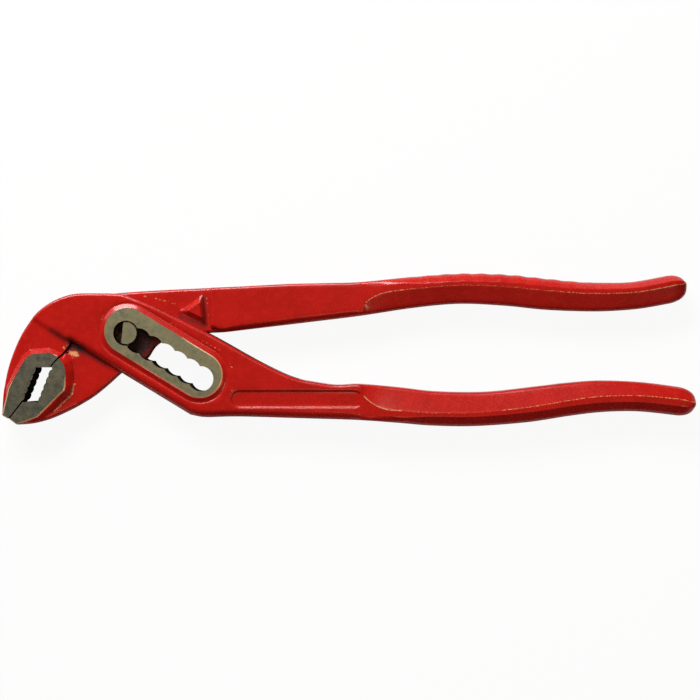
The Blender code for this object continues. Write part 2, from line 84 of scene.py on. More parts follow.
slotTravel = box["pocketPitch"] * (box["pockets"] - 1)
lastPocket = slotPoint(slotTravel, 0)


def fromLastPocket(points):
    return [(x + lastPocket[0], y + lastPocket[1]) for x, y in points]


# Numbers and colours

# sRGB hex to linear
def hexColour(text):
    parts = [int(text[i:i + 2], 16) / 255 for i in (1, 3, 5)]
    return tuple(p / 12.92 if p <= 0.04045 else ((p + 0.055) / 1.055) ** 2.4 for p in parts) + (1.0,)


def mix(a, b, t):
    return a + (b - a) * t


def ease(t):
    t = np.clip(t, 0, 1)
    return t * t * (3 - 2 * t)


# Plan curves

# A smooth line through the points. It sets out as if from before and arrives as if bound for after
def curveThrough(points, steps=curveSteps, before=None, after=None):
    ends = [before or points[0], *points, after or points[-1]]
    out = []
    for a, b, c, d in zip(ends, ends[1:], ends[2:], ends[3:]):
        a, b, c, d = (np.array(p, float) for p in (a, b, c, d))
        for step in range(steps):
            t = step / steps
            bend = (2 * a - 5 * b + 4 * c - d) * t**2 + (3 * b - a - 3 * c + d) * t**3
            out.append((2 * b + (c - a) * t + bend) / 2)
    out.append(np.array(points[-1], float))
    return np.array(out)


# The same line with points at even spacing
def evenly(line, spacing):
    line = np.array(line, float)
    lengths = np.hypot(*np.diff(line, axis=0).T)
    keep = np.concatenate([[True], lengths > 1e-6])
    line = line[keep]
    run = np.concatenate([[0], np.cumsum(np.hypot(*np.diff(line, axis=0).T))])
    count = max(int(round(run[-1] / spacing)), 1)
    at = np.linspace(0, run[-1], count + 1)
    return np.stack([np.interp(at, run, line[:, 0]), np.interp(at, run, line[:, 1])], 1)


# Points moved to the left of the way the line runs
def sideways(points, gap):
    points = np.array(points, float)
    ahead = np.gradient(points, axis=0)
    ahead /= np.maximum(np.hypot(ahead[:, 0], ahead[:, 1]), 1e-9)[:, None]
    return points + np.stack([-ahead[:, 1], ahead[:, 0]], 1) * gap


def arcPoints(centre, radius, start, stop, count):
    at = np.radians(np.linspace(start, stop, count + 1))
    return np.stack([centre[0] + radius * np.cos(at), centre[1] + radius * np.sin(at)], 1)


def distanceTo(points, line, closed=False):
    line = np.array(line, float)
    if closed:
        line = np.vstack([line, line[:1]])
    a = line[:-1]
    b = line[1:] - a
    size = np.maximum((b * b).sum(1), 1e-12)
    out = np.empty(len(points))
    for first in range(0, len(points), batch):
        p = points[first:first + batch, None, :] - a[None]
        t = np.clip((p * b[None]).sum(2) / size[None], 0, 1)
        q = p - t[..., None] * b[None]
        out[first:first + batch] = np.sqrt((q * q).sum(2).min(1))
    return out


def insideOf(points, loop):
    loop = np.array(loop, float)
    a = loop
    b = np.roll(loop, -1, axis=0)
    out = np.empty(len(points), bool)
    for first in range(0, len(points), batch):
        p = points[first:first + batch]
        x = p[:, :1]
        y = p[:, 1:]
        crosses = (a[None, :, 1] > y) != (b[None, :, 1] > y)
        rise = np.where(np.abs(b[:, 1] - a[:, 1]) < 1e-12, 1e-12, b[:, 1] - a[:, 1])
        at = a[None, :, 0] + (y - a[None, :, 1]) * ((b[:, 0] - a[:, 0]) / rise)[None]
        out[first:first + batch] = ((crosses & (x < at)).sum(1) % 2) == 1
    return out


def area(loop):
    loop = np.array(loop)
    after = np.roll(loop, -1, axis=0)
    return ((loop[:, 0] * after[:, 1] - after[:, 0] * loop[:, 1]).sum()) / 2


# Handles: four lines run along each, the inner edge, two ridges and the outer edge

handleShape = {
    "forged": 4.55,       # half thickness of the necks
    "ground": 5.25,       # half thickness at the ridges and ground faces
    "edge": 2.8,          # half thickness at the handle's edges
    "runOut": 12.0,
    "outerRunOut": 30.0,
    "outerShare": 0.6,    # the outer ridge sets in with this share of the inner one's sweep
    "leastFacet": 0.2,
    "neckMargin": 0.03,
    "crease": 0.16,       # rounding of the ridges
    "endLength": 7.2,
    "endThickness": 0.55,
    "endSteps": 14,
    "endBluntness": 0.88,
    "highlightReach": 0.32,  # a painted highlight along the first ridge reaches this far
    "ridgeLines": (-0.6, -0.3, -0.12, 0, 0.12, 0.3, 0.6),
}
ripple = {"pitch": 6.6, "depth": 0.3, "start": 103.0, "end": 172.0}


def rippleDepth(x):
    share = np.clip((x - ripple["start"]) / (ripple["end"] - ripple["start"]), 0, 1)
    wave = (1 - np.cos(2 * math.pi * (x - ripple["start"]) / ripple["pitch"])) / 2
    return ripple["depth"] * np.sqrt(np.maximum(np.sin(math.pi * share), 0)) * wave


# Lines of x, y along the handle, and the half heights of its edges and of its top
def handleLines(pairs, ridge, ridgeWidth, rippled, before):
    s = handleShape
    inner = curveThrough([p[0] for p in pairs], before=before[0])
    outer = curveThrough([p[1] for p in pairs], before=before[1])
    if rippled:
        outer[:, 1] -= rippleDepth(outer[:, 0])
    share = np.linspace(0, 1, len(inner))
    runOut = np.clip((inner[:, 0] - inner[0, 0]) / s["runOut"], 0, 1)
    rise = np.sqrt(1 - (1 - runOut) ** 2)
    outerRise = ease((inner[:, 0] - inner[0, 0]) / s["outerRunOut"])
    near = mix(ridge[0], ridge[1], share)
    far = near + mix(ridgeWidth[0], ridgeWidth[1], share)
    first = mix(s["neckMargin"], near, rise)[:, None]
    second = mix(1 - s["neckMargin"], far, np.maximum(outerRise, s["outerShare"] * rise))[:, None]
    edge = mix(s["forged"], s["edge"], rise)
    outerEdge = mix(s["forged"], s["edge"], outerRise)
    top = mix(s["forged"], s["ground"], runOut)
    lines = [inner, mix(inner, outer, first), mix(inner, outer, second), outer]
    centre = (inner[-1] + outer[-1]) / 2
    across = (outer[-1] - inner[-1]) / np.hypot(*(outer[-1] - inner[-1]))
    heading = np.array([abs(across[1]), -across[0] * np.sign(across[1])])
    ends = [line[-1] for line in lines]
    for step in range(1, s["endSteps"] + 1):
        turn = math.pi / 2 * step / s["endSteps"]
        shrink = max(math.cos(turn), 0) ** s["endBluntness"]
        ahead = heading * s["endLength"] * math.sin(turn) ** s["endBluntness"]
        for index, end in enumerate(ends):
            lines[index] = np.vstack([lines[index], centre + (end - centre) * shrink + ahead])
    end = {"centre": centre, "across": across, "heading": heading}
    end["places"] = [(p - centre) @ across for p in ends]
    return {"lines": lines, "edge": edge, "outerEdge": outerEdge, "top": top, "end": end}


# The smaller of two heights, with the corner between them rounded
def softLess(a, b, width):
    h = np.clip(0.5 + 0.5 * (b - a) / width, 0, 1)
    return b + (a - b) * h - width * h * (1 - h)


# Half height across a handle, with its three faces: places are where the lines cross
def facets(at, places, edge, outerEdge, top):
    crease = handleShape["crease"]
    least = handleShape["leastFacet"]
    rising = edge + (top - edge) * (at - places[0]) / np.maximum(places[1] - places[0], least)
    falling = outerEdge + (top - outerEdge) * (places[3] - at) / np.maximum(places[3] - places[2], least)
    return softLess(softLess(rising, top, crease), falling, crease)


def handleHeight(points, handle):
    x = points[:, 0]
    count = len(handle["edge"])
    run = handle["lines"][0][:count, 0]
    sign = np.sign(handle["lines"][3][0, 1] - handle["lines"][0][0, 1])
    places = [np.interp(x, line[:count, 0], line[:count, 1]) * sign for line in handle["lines"]]
    heights = [np.interp(x, run, handle[name]) for name in ("edge", "outerEdge", "top")]
    body = facets(points[:, 1] * sign, places, *heights)
    end = handle["end"]
    s = handleShape
    ahead = np.clip((points - end["centre"]) @ end["heading"] / s["endLength"], 0, 1)
    turn = np.arcsin(ahead ** (1 / s["endBluntness"]))
    shrink = np.maximum(np.cos(turn), 0.01) ** s["endBluntness"]
    at = (points - end["centre"]) @ end["across"] / shrink
    heights = [handle[name][-1] for name in ("edge", "outerEdge", "top")]
    tip = facets(at, end["places"], *heights) * mix(s["endThickness"], 1, shrink)
    return np.where(ahead > 0, tip, body)


# Plates: a plan shape with its own height at each point, the same on both sides

# Vertex layers: distance from the forged edge, painted shade that also dulls the paint, and painted highlight
vertexLayers = ("edge", "shadeAndGrease", "paintedHighlight")
finishOrder = ("enamel", "jaw", "dark", "rim", "boss")
paint, jawSteel, darkWall, filedCornerGlint, bossSteel = range(len(finishOrder))


# Triangles over the plan, with edges along the loops and creases. The first loop is the outline
def flatSheet(loops, creases, seeds, spacing):
    points = [tuple(p) for loop in loops for p in loop]
    edges = []
    first = 0
    for loop in loops:
        count = len(loop)
        edges += [(first + i, first + (i + 1) % count) for i in range(count)]
        first += count
    for crease in creases:
        edges += [(len(points) + i, len(points) + i + 1) for i in range(len(crease) - 1)]
        points += [tuple(p) for p in crease]
    outline = np.array(loops[0])
    low = outline.min(0)
    high = outline.max(0)
    columns = np.arange(low[0], high[0], spacing)
    rows = np.arange(low[1], high[1], spacing * sheetShape["rowShare"])
    grid = np.array([(x + (r % 2) * spacing / 2, y) for r, y in enumerate(rows) for x in columns])
    tree = kdtree.KDTree(len(points) + len(seeds))
    for index, p in enumerate(points + [tuple(p) for p in seeds]):
        tree.insert((p[0], p[1], 0), index)
    tree.balance()
    grid = grid[insideOf(grid, outline)]
    clear = [tree.find((p[0], p[1], 0))[2] > spacing * sheetShape["clearShare"] for p in grid]
    everything = points + [tuple(p) for p in seeds] + [tuple(p) for p in grid[clear]]
    made = delaunay_2d_cdt([Vector(p) for p in everything], edges, [], 0, 1e-4)
    places = np.array([tuple(p) for p in made[0]])
    triangles = np.array(made[2])
    middles = places[triangles].mean(1)
    keep = insideOf(middles, outline)
    for hole in loops[1:]:
        keep &= ~insideOf(middles, hole)
    return places, triangles[keep]


# The stretches of a line whose points are good
def goodRuns(line, good):
    out = []
    run = []
    for p, ok in zip(line, good):
        if ok:
            run.append(p)
        elif run:
            out.append(run)
            run = []
    return [r for r in out + [run] if len(r) > 1]


# The stretches of a line that lie inside the outline and clear of its edge
def insideStretches(line, outline, holes, clear=0.06):
    line = np.array(line)
    good = insideOf(line, outline) & (distanceTo(line, outline, True) > clear)
    for hole in holes:
        good &= ~insideOf(line, hole) & (distanceTo(line, hole, True) > clear)
    return goodRuns(line, good)


# Drops points that lie closer than gap to one kept before
def thinOut(points, gap, taken):
    kept = []
    cells = {}
    for p in taken:
        cells.setdefault((int(p[0] // gap), int(p[1] // gap)), []).append(p)
    for p in points:
        cell = (int(p[0] // gap), int(p[1] // gap))
        around = [(cell[0] + i, cell[1] + j) for i in (-1, 0, 1) for j in (-1, 0, 1)]
        near = [q for key in around for q in cells.get(key, [])]
        if all((p[0] - q[0]) ** 2 + (p[1] - q[1]) ** 2 > gap * gap for q in near):
            kept.append(p)
            cells.setdefault(cell, []).append(p)
    return np.array(kept)


# Rounding of the forged edges: widths for each kind of edge, and how the rounding goes
edgeRound = {
    "cut": 0,
    "width": 1.1,
    "lower": 2.8,         # along the foot of the box and the lower neck
    "neck": 2.2,
    "tip": 0.3,
    "depth": 1.9,
    "share": 0.6,         # widest rounding over the half height
    "bluntness": 1.8,
    "blend": 2.0,         # widths blend over about this far where two stretches meet
    "blendPower": 4,
    "rings": (10, 25, 40, 56, 73, 90),
}
sheetShape = {
    "boundary": 0.5,
    "grid": 1.0,
    "rowShare": 0.866,    # rows stand this far apart over the spacing in them
    "clearShare": 0.6,
    "closest": 0.06,
    "clear": 0.008,
    "inside": 9.0,        # the "edge" layer says this for all places further in
    "draft": 0.12,
}
creaseSpacing = {"pad": 0.45, "corner": 0.4, "boss": 0.6, "ridge": 0.7, "jawStep": 0.8, "neckStep": 0.5}
wave = {"length": 9.0, "height": 0.035, "layer": 3.0}      # slow waves that the forging die leaves


# Points on lines inside the forged edges, closer together where the rounding turns faster
def forgedRings(outline, forged):
    out = []
    for width, stretch in forged:
        for angle in edgeRound["rings"]:
            inset = width * (1 - math.cos(math.radians(angle)))
            ring = sideways(stretch, inset)
            ring = ring[insideOf(ring, outline)]
            if len(ring):
                out.append(ring[distanceTo(ring, outline, True) > inset * stillInside])
    return np.vstack(out)


# How far each place lies from a forged edge, and its half height once those edges are rounded
def roundedHeights(places, forged, heightAt, grounds):
    e = edgeRound
    gaps = np.array([distanceTo(places, line) for width, line in forged])
    edge = np.minimum(gaps.min(0), sheetShape["inside"])
    weights = 1 / (gaps + e["blend"]) ** e["blendPower"]
    height = heightAt(places)
    width = (weights * np.array([width for width, line in forged])[:, None]).sum(0) / weights.sum(0)
    width = np.minimum(width, height * e["share"])
    depth = np.minimum(width, e["depth"])
    inset = np.clip(edge / width, 0, 1)
    blunt = np.clip((width - e["width"]) / (e["lower"] - e["width"]), 0, 1)
    height = height - depth * mix(1 - np.sqrt(1 - (1 - inset) ** 2), (1 - inset) ** e["bluntness"], blunt)
    scale = 1 / wave["length"]
    waves = np.array([noise.noise(Vector((p[0] * scale, p[1] * scale, wave["layer"]))) for p in places])
    bare = groundFinish(places, grounds) > paint
    return edge, np.where(bare, height, np.minimum(height + waves * wave["height"], handleShape["ground"]))


# For each side of the triangles, the triangles that share it and the way it runs in each
def triangleSides(triangles):
    sides = {}
    for index, (a, b, c) in enumerate(triangles):
        for pair in ((a, b), (b, c), (c, a)):
            sides.setdefault((min(pair), max(pair)), []).append((index, pair))
    return sides


# How far each place stands proud at the middle plane, where the two dies meet
def proudAt(places, border, onForged):
    proud = np.zeros((len(places), 2))
    for index, (a, b) in border:
        if onForged[a] and onForged[b]:
            ahead = places[b] - places[a]
            out = np.array([ahead[1], -ahead[0]]) / max(np.hypot(*ahead), 1e-9)
            proud[a] += out
            proud[b] += out
    length = np.maximum(np.hypot(proud[:, 0], proud[:, 1]), 1e-9)[:, None]
    return proud / length * sheetShape["draft"]


# A closed mesh for a plate. Stretches run round the outline in order, each with the kind of its edge.
# Inside a channel's outline the plate is two walls, with a gap of the channel's half height each way
def plateMesh(name, stretches, holes, creases, heightAt, grounds, finishNames, marksAt, channel=None):
    stretches = [(edgeRound[kind], evenly(line, sheetShape["boundary"])) for kind, line in stretches]
    outline = np.vstack([line[:-1] for width, line in stretches])
    forged = [(width, line) for width, line in stretches if width]
    if area(outline) < 0:
        outline = outline[::-1]
        forged = [(width, line[::-1]) for width, line in forged]
    runs = [run for line in creases for run in insideStretches(line, outline, holes)]
    seeds = forgedRings(outline, forged)
    seeds = seeds[insideOf(seeds, outline)]
    seeds = thinOut(seeds, sheetShape["closest"], [p for run in runs for p in run])
    seeds = seeds[distanceTo(seeds, outline, True) > sheetShape["clear"]]
    if channel:
        runs.append(evenly(closedLine(channel["outline"]), sheetShape["grid"]))
    places, triangles = flatSheet([outline] + holes, runs, seeds, sheetShape["grid"])
    edge, height = roundedHeights(places, forged, heightAt, grounds)
    middles = places[triangles].mean(1)
    gapped = insideOf(middles, channel["outline"]) if channel else np.zeros(len(triangles), bool)
    sides = triangleSides(triangles)
    border = [found[0] for found in sides.values() if len(found) == 1]
    onForged = edge < onLine
    proud = proudAt(places, border, onForged)
    levelHeight = {"top": height, "belt": np.zeros(len(places))}
    if channel:
        levelHeight["ceiling"] = np.full(len(places), channel["half"])

    shape = bmesh.new()
    for layer in vertexLayers:
        shape.verts.layers.float.new(layer)
    edgeLayer = shape.verts.layers.float["edge"]
    columns = [dict() for _ in places]

    def corner(index, level):
        if level not in columns[index]:
            x, y = places[index] + (proud[index] if level == "belt" else 0)
            half = levelHeight[level.strip("-")][index]
            z = midHeight + (-half if level.startswith("-") else half)
            vertex = shape.verts.new((x * mm, y * mm, z * mm))
            vertex[edgeLayer] = sheetShape["inside"] if level == "belt" else edge[index]
            columns[index][level] = vertex

    order = ("-top", "-ceiling", "belt", "ceiling", "top")

    def wall(a, b, low, top, kind):
        levels = order[order.index(low):order.index(top) + 1]
        up = [columns[b][level] for level in levels if level in columns[b]]
        down = [columns[a][level] for level in reversed(levels) if level in columns[a]]
        shape.faces.new(up + down).material_index = kind

    def sheet(triangle, level, kind):
        shape.faces.new([columns[place][level] for place in triangle]).material_index = kind

    for index, triangle in enumerate(triangles):
        for place in triangle:
            for level in ("top", "-top") + (("ceiling", "-ceiling") if gapped[index] else ()):
                corner(place, level)
    for index, pair in border:
        if not gapped[index]:
            corner(pair[0], "belt")
            corner(pair[1], "belt")
    for index, kind in enumerate(groundFinish(middles, grounds)):
        sheet(triangles[index], "top", int(kind))
        sheet(triangles[index][::-1], "-top", int(kind))
        if gapped[index]:
            sheet(triangles[index][::-1], "ceiling", darkWall)
            sheet(triangles[index], "-ceiling", darkWall)
    for index, (a, b) in border:
        kind = paint if onForged[a] and onForged[b] else darkWall
        inner = ("ceiling", "-ceiling") if gapped[index] else ("belt", "belt")
        wall(a, b, inner[0], "top", kind)
        wall(a, b, "-top", inner[1], kind)
    for found in sides.values():
        if len(found) == 2 and gapped[found[0][0]] != gapped[found[1][0]]:
            solid = found[0] if not gapped[found[0][0]] else found[1]
            wall(solid[1][0], solid[1][1], "-ceiling", "ceiling", darkWall)
    for layerName, values in marksAt(places).items():
        layer = shape.verts.layers.float[layerName]
        for value, column in zip(values, columns):
            for vertex in column.values():
                vertex[layer] = value
    bmesh.ops.recalc_face_normals(shape, faces=shape.faces)
    openEdges = sum(len(e.link_faces) != 2 for e in shape.edges)
    piece = meshPiece(name, shape, [finish[name] for name in finishNames])
    print(name, len(piece.data.vertices), "vertices,", openEdges, "open edges")
    return piece


def meshPiece(name, shape, finishes):
    mesh = bpy.data.meshes.new(name)
    shape.to_mesh(mesh)
    shape.free()
    for finish in finishes:
        mesh.materials.append(finish)
    piece = bpy.data.objects.new(name, mesh)
    bpy.context.scene.collection.objects.link(piece)
    return piece


# The wheel leaves a burr on the side where it runs off, and a file takes its corner away; the corner's light
# beige there is partly bare steel and partly a painted warm reflection
rim = {"width": 0.42, "least": 0.08, "drop": 0.16, "runOff": -62, "from": -0.35, "over": 0.5}


# Width of the filed corner beside each point of a ground face, widest where the wheel ran off
def rimWidth(points, loop):
    middle = np.array(loop).mean(0)
    at = np.radians(rim["runOff"])
    out = points - middle
    side = out @ np.array([math.cos(at), math.sin(at)]) / np.maximum(np.hypot(out[:, 0], out[:, 1]), 1e-6)
    width = rim["width"] * ease((side - rim["from"]) / rim["over"])
    return np.where(width < rim["least"], 0, width)


# Height of a pad whose sloping side runs from its foot line up to its top line
def raised(points, top, foot, base, height):
    outTop = np.where(insideOf(points, top), 0, distanceTo(points, top, True))
    inFoot = np.where(insideOf(points, foot), distanceTo(points, foot, True), 0)
    t = inFoot / np.maximum(inFoot + outTop, 1e-9)
    return np.where(t > 0, base + (height - base) * t, base)


# How far the filed corner lies below its ground face
def rimDrop(points, top):
    away = distanceTo(points, top, True)
    deep = np.where(insideOf(points, top), away, -away)
    width = rimWidth(points, top)
    filed = (deep > -onLine) & (deep < width)    # points on the line itself belong to the corner
    return np.where(filed, rim["drop"] * (width - np.maximum(deep, 0)) / rim["width"], 0)


# Strength of the marks at each place. A mark is a line, its reach to either side and its strength
def marked(points, marks):
    gaps = [distanceTo(points, line) / reach for line, reach, strength in marks]
    return np.max([strength * np.exp(-gap**2) for gap, (line, reach, strength) in zip(gaps, marks)], axis=0)


# The finish at each place, for ground faces that are given as loops with their own steel; the filed corner,
# on the run-off side only, is light in part as a painted warm reflection
def groundFinish(points, grounds):
    kind = np.full(len(points), paint)
    for loop, ground in grounds:
        deep = np.where(insideOf(points, loop), distanceTo(points, loop, True), 0)
        kind[deep > onLine] = filedCornerGlint
        kind[deep > rimWidth(points, loop)] = ground
    return kind


def closedLine(line):
    return np.vstack([line, line[:1]])


# The line and others beside it, with points at even spacing
def besideLine(line, insets, spacing):
    return [evenly(sideways(line, inset), spacing) for inset in insets]


# Lines on and beside the two ridges of a handle
def besideRidges(handle):
    out = []
    for ridge in handle["lines"][1:3]:
        out += besideLine(ridge, handleShape["ridgeLines"], creaseSpacing["ridge"])
    return out


# Painted highlight marks along the first ridge, each from one of its points to another, with its strength
def ridgeMarks(handle, stretches):
    ridge = handle["lines"][1]
    reach = handleShape["highlightReach"]
    return [(ridge[first:last], reach, strength) for first, last, strength in stretches]


# A closed loop at one distance from the line between two points
def stadium(start, stop, radius, count=40):
    heading = math.degrees(math.atan2(stop[1] - start[1], stop[0] - start[0]))
    far = arcPoints(stop, radius, heading - 90, heading + 90, count)
    near = arcPoints(start, radius, heading + 90, heading + 270, count)
    return np.vstack([far, near])


def stadiumLine(start, stop, radius):
    return evenly(closedLine(stadium(start, stop, radius)), creaseSpacing["boss"])


# A closed loop with points at even spacing and its corners kept
def dense(loop):
    loop = np.array(loop, float)
    sides = [(a, b) for a, b in zip(loop, np.roll(loop, -1, axis=0)) if np.hypot(*(b - a)) > 1e-6]
    return closedLine(np.vstack([evenly(side, creaseSpacing["pad"])[:-1] for side in sides]))


# The inner line of a filed corner and one halfway to it, left out where they would cross at a bend
def rimLines(loop):
    line = dense(loop)
    inward = np.sign(area(loop)) * rimWidth(line, loop)
    out = []
    for share in (0.5, 1.0):
        inset = (inward * share)[:, None]
        moved = line + (sideways(line, 1.0) - line) * inset
        clear = distanceTo(moved, loop, True) > np.abs(inset[:, 0]) * stillInside
        out += goodRuns(moved, clear & (inward != 0))
    return out


# Lines between a pad's foot and its top, which have the same number of points
def slopeLines(top, foot, shares=(0.0, 0.12, 0.3, 0.5, 0.7, 0.86, 1.0)):
    return [dense(mix(np.array(foot), np.array(top), share)) for share in shares]


# Lines where the jaws part

jaws = {
    "splitGap": 0.5,
    "crotch": [(-20.25, -3.85), (-21.9, -6.2), (-24.4, -8.8), (-26.9, -11.6)],
    "tip": [(-37.6, -24.85), (-42.5, -31.1)],
    "upperTeeth": [(-33.1, -12.4), (-37.9, -24.3)],
    "lowerTeeth": [(-26.7, -13.4), (-31.3, -25.2)],
    "mouthFloor": [(-33.3, -24.8), (-35.7, -24.9)],
    "boxCrotch": (-15.7, -13.3),
}

slottedHalf = {
    "jawBack": [
        (-45.2, -29.8), (-44.5, -20.0), (-42.9, -12.0), (-39.8, -3.6), (-36.4, 2.6), (-32.4, 7.6),
        (-27.4, 11.3), (-22.3, 13.5), (-17.8, 14.4), (-11.1, 14.5), (-3.2, 14.3), (1.6, 13.0),
    ],
    "boxUpper": [(6.2, 13.7), (26.2, 15.5), (slotTravel + 12.7, 16.2), (slotTravel + 23.7, 17.1)],
    "boxCorner": [(slotTravel + 7.0, -12.0), (slotTravel + 3.4, -13.3)],
    "cornerLead": (3.0, -0.15),
    "neckInner": [(35.5, -0.1), (41.6, -1.3), (49.3, -2.3)],
    "neckOuter": [(35.5, -14.4), (14.2, -13.8)],
    "handle": [
        ((57.6, -2.0), (57.6, -15.1)), ((71.5, -3.2), (71.5, -16.1)), ((85.3, -4.7), (83.8, -17.1)),
        ((103.2, -4.9), (99.8, -17.3)), ((121.5, -3.0), (118.8, -15.9)), ((133.3, -1.6), (133.3, -13.7)),
        ((145.4, -0.8), (145.8, -12.2)), ((160.3, -1.4), (158.8, -11.9)), ((173.9, -3.1), (172.1, -13.2)),
    ],
    "ridge": (0.68, 0.42),
    "ridgeWidth": (0.06, 0.24),
    # painted highlights along the first ridge: from point, to point, strength
    "ridgeHighlights": [(1, 12, 0.88), (12, 34, 0.62), (34, 90, 0.76)],
    "padTop": [
        (-44.9, -29.7), (-42.5, -19.7), (-39.2, -14.1), (-36.3, -9.1), (-34.1, -7.6), (-28.2, -7.0),
        (-24.8, -8.2), (-24.0, -9.4), (-42.0, -31.6),
    ],
    "padFoot": [
        (-44.9, -29.8), (-43.6, -19.3), (-40.7, -13.2), (-37.6, -7.8), (-34.9, -5.8), (-28.0, -5.2),
        (-23.0, -7.4), (-22.6, -8.0), (-42.0, -31.8),
    ],
    "jawRoot": 3.8,
    "jawStep": [(-18.0, -4.6), (-36.9, 6.9)],
    "stepHalf": 1.3,
    "stepLines": (-1.3, -0.8, -0.4, 0.0, 0.4, 0.8, 1.3),
    "panelCentre": (34.8, -7.4),
    "panelLength": 47.5,
    "panelWidth": 6.0,
    "panelDepth": 0.5,
    "panelWall": 0.7,         # the wall slopes over this
    "panelLines": (-0.36, -0.2, 0.0, 0.2, 0.36),
    "bossLines": (0, 0.1, 0.22, 0.36, 0.5, 0.66, 0.8, 0.9, 0.95, 1.0, 1.06),
    "channelHalf": 2.35,
    "webRadius": 17.9,
    "webArc": (183, 128, 24),     # degrees from and to, and steps
    "channelAbove": [slotPoint(-20, 30), slotPoint(50, 30)],
    "channelNeck": fromLastPocket([(42.5, 7.5), (35.5, -0.1), (29.0, -0.4)]),
    "sweepRadius": 14.5,
    "sweepArc": (-15, -30, 6),
    "channelFoot": fromLastPocket([(14.8, -14.0), (16.0, -20.0)]),
    "channelBelow": [slotPoint(10, -22), slotPoint(-12, -14.5)],
    # Marks, each with its line, reach and strength: painted shade at the crotch and in the step
    "shadeAndGrease": [
        ([(-20.5, -3.5), (-16.4, -5.6)], 1.5, 1.0),
        ([(-20.4, -3.3), (-27.0, 0.9)], 1.3, 0.6),
    ],
    # Painted highlight specks where the boss foot ends, and a painted warm spot at the foot of the jaw pad
    "paintedHighlight": [
        ([slotPoint(11.5, 11.7), slotPoint(32.0, 12.3)], 0.5, 0.74),
        (arcPoints(lastPocket, 12.0, 30, -45, 12), 0.4, 0.72),
        ([(-22.9, -5.1), (-22.5, -5.7)], 0.6, 1.0),
    ],
}


# Outline of the slot: round pockets that overlap, so that cusps stand between them
def toothedSlot():
    lean = math.degrees(math.acos(box["pocketPitch"] / 2 / box["pocketRadius"]))
    out = []
    for side in (0, 1):
        order = range(box["pockets"]) if side == 0 else reversed(range(box["pockets"]))
        for pocket in order:
            ends = (pocket == 0, pocket == box["pockets"] - 1)
            first = 180 if ends[0] else 180 - lean
            last = 0 if ends[1] else lean
            if side:
                first, last = (0 if ends[1] else -lean), (-180 if ends[0] else lean - 180)
            centre = slotPoint(pocket * box["pocketPitch"], 0)
            start = box["slotAngle"] + first
            stop = box["slotAngle"] + last
            out.append(arcPoints(centre, box["pocketRadius"], start, stop, box["pocketSteps"])[:-1])
    return np.vstack(out)


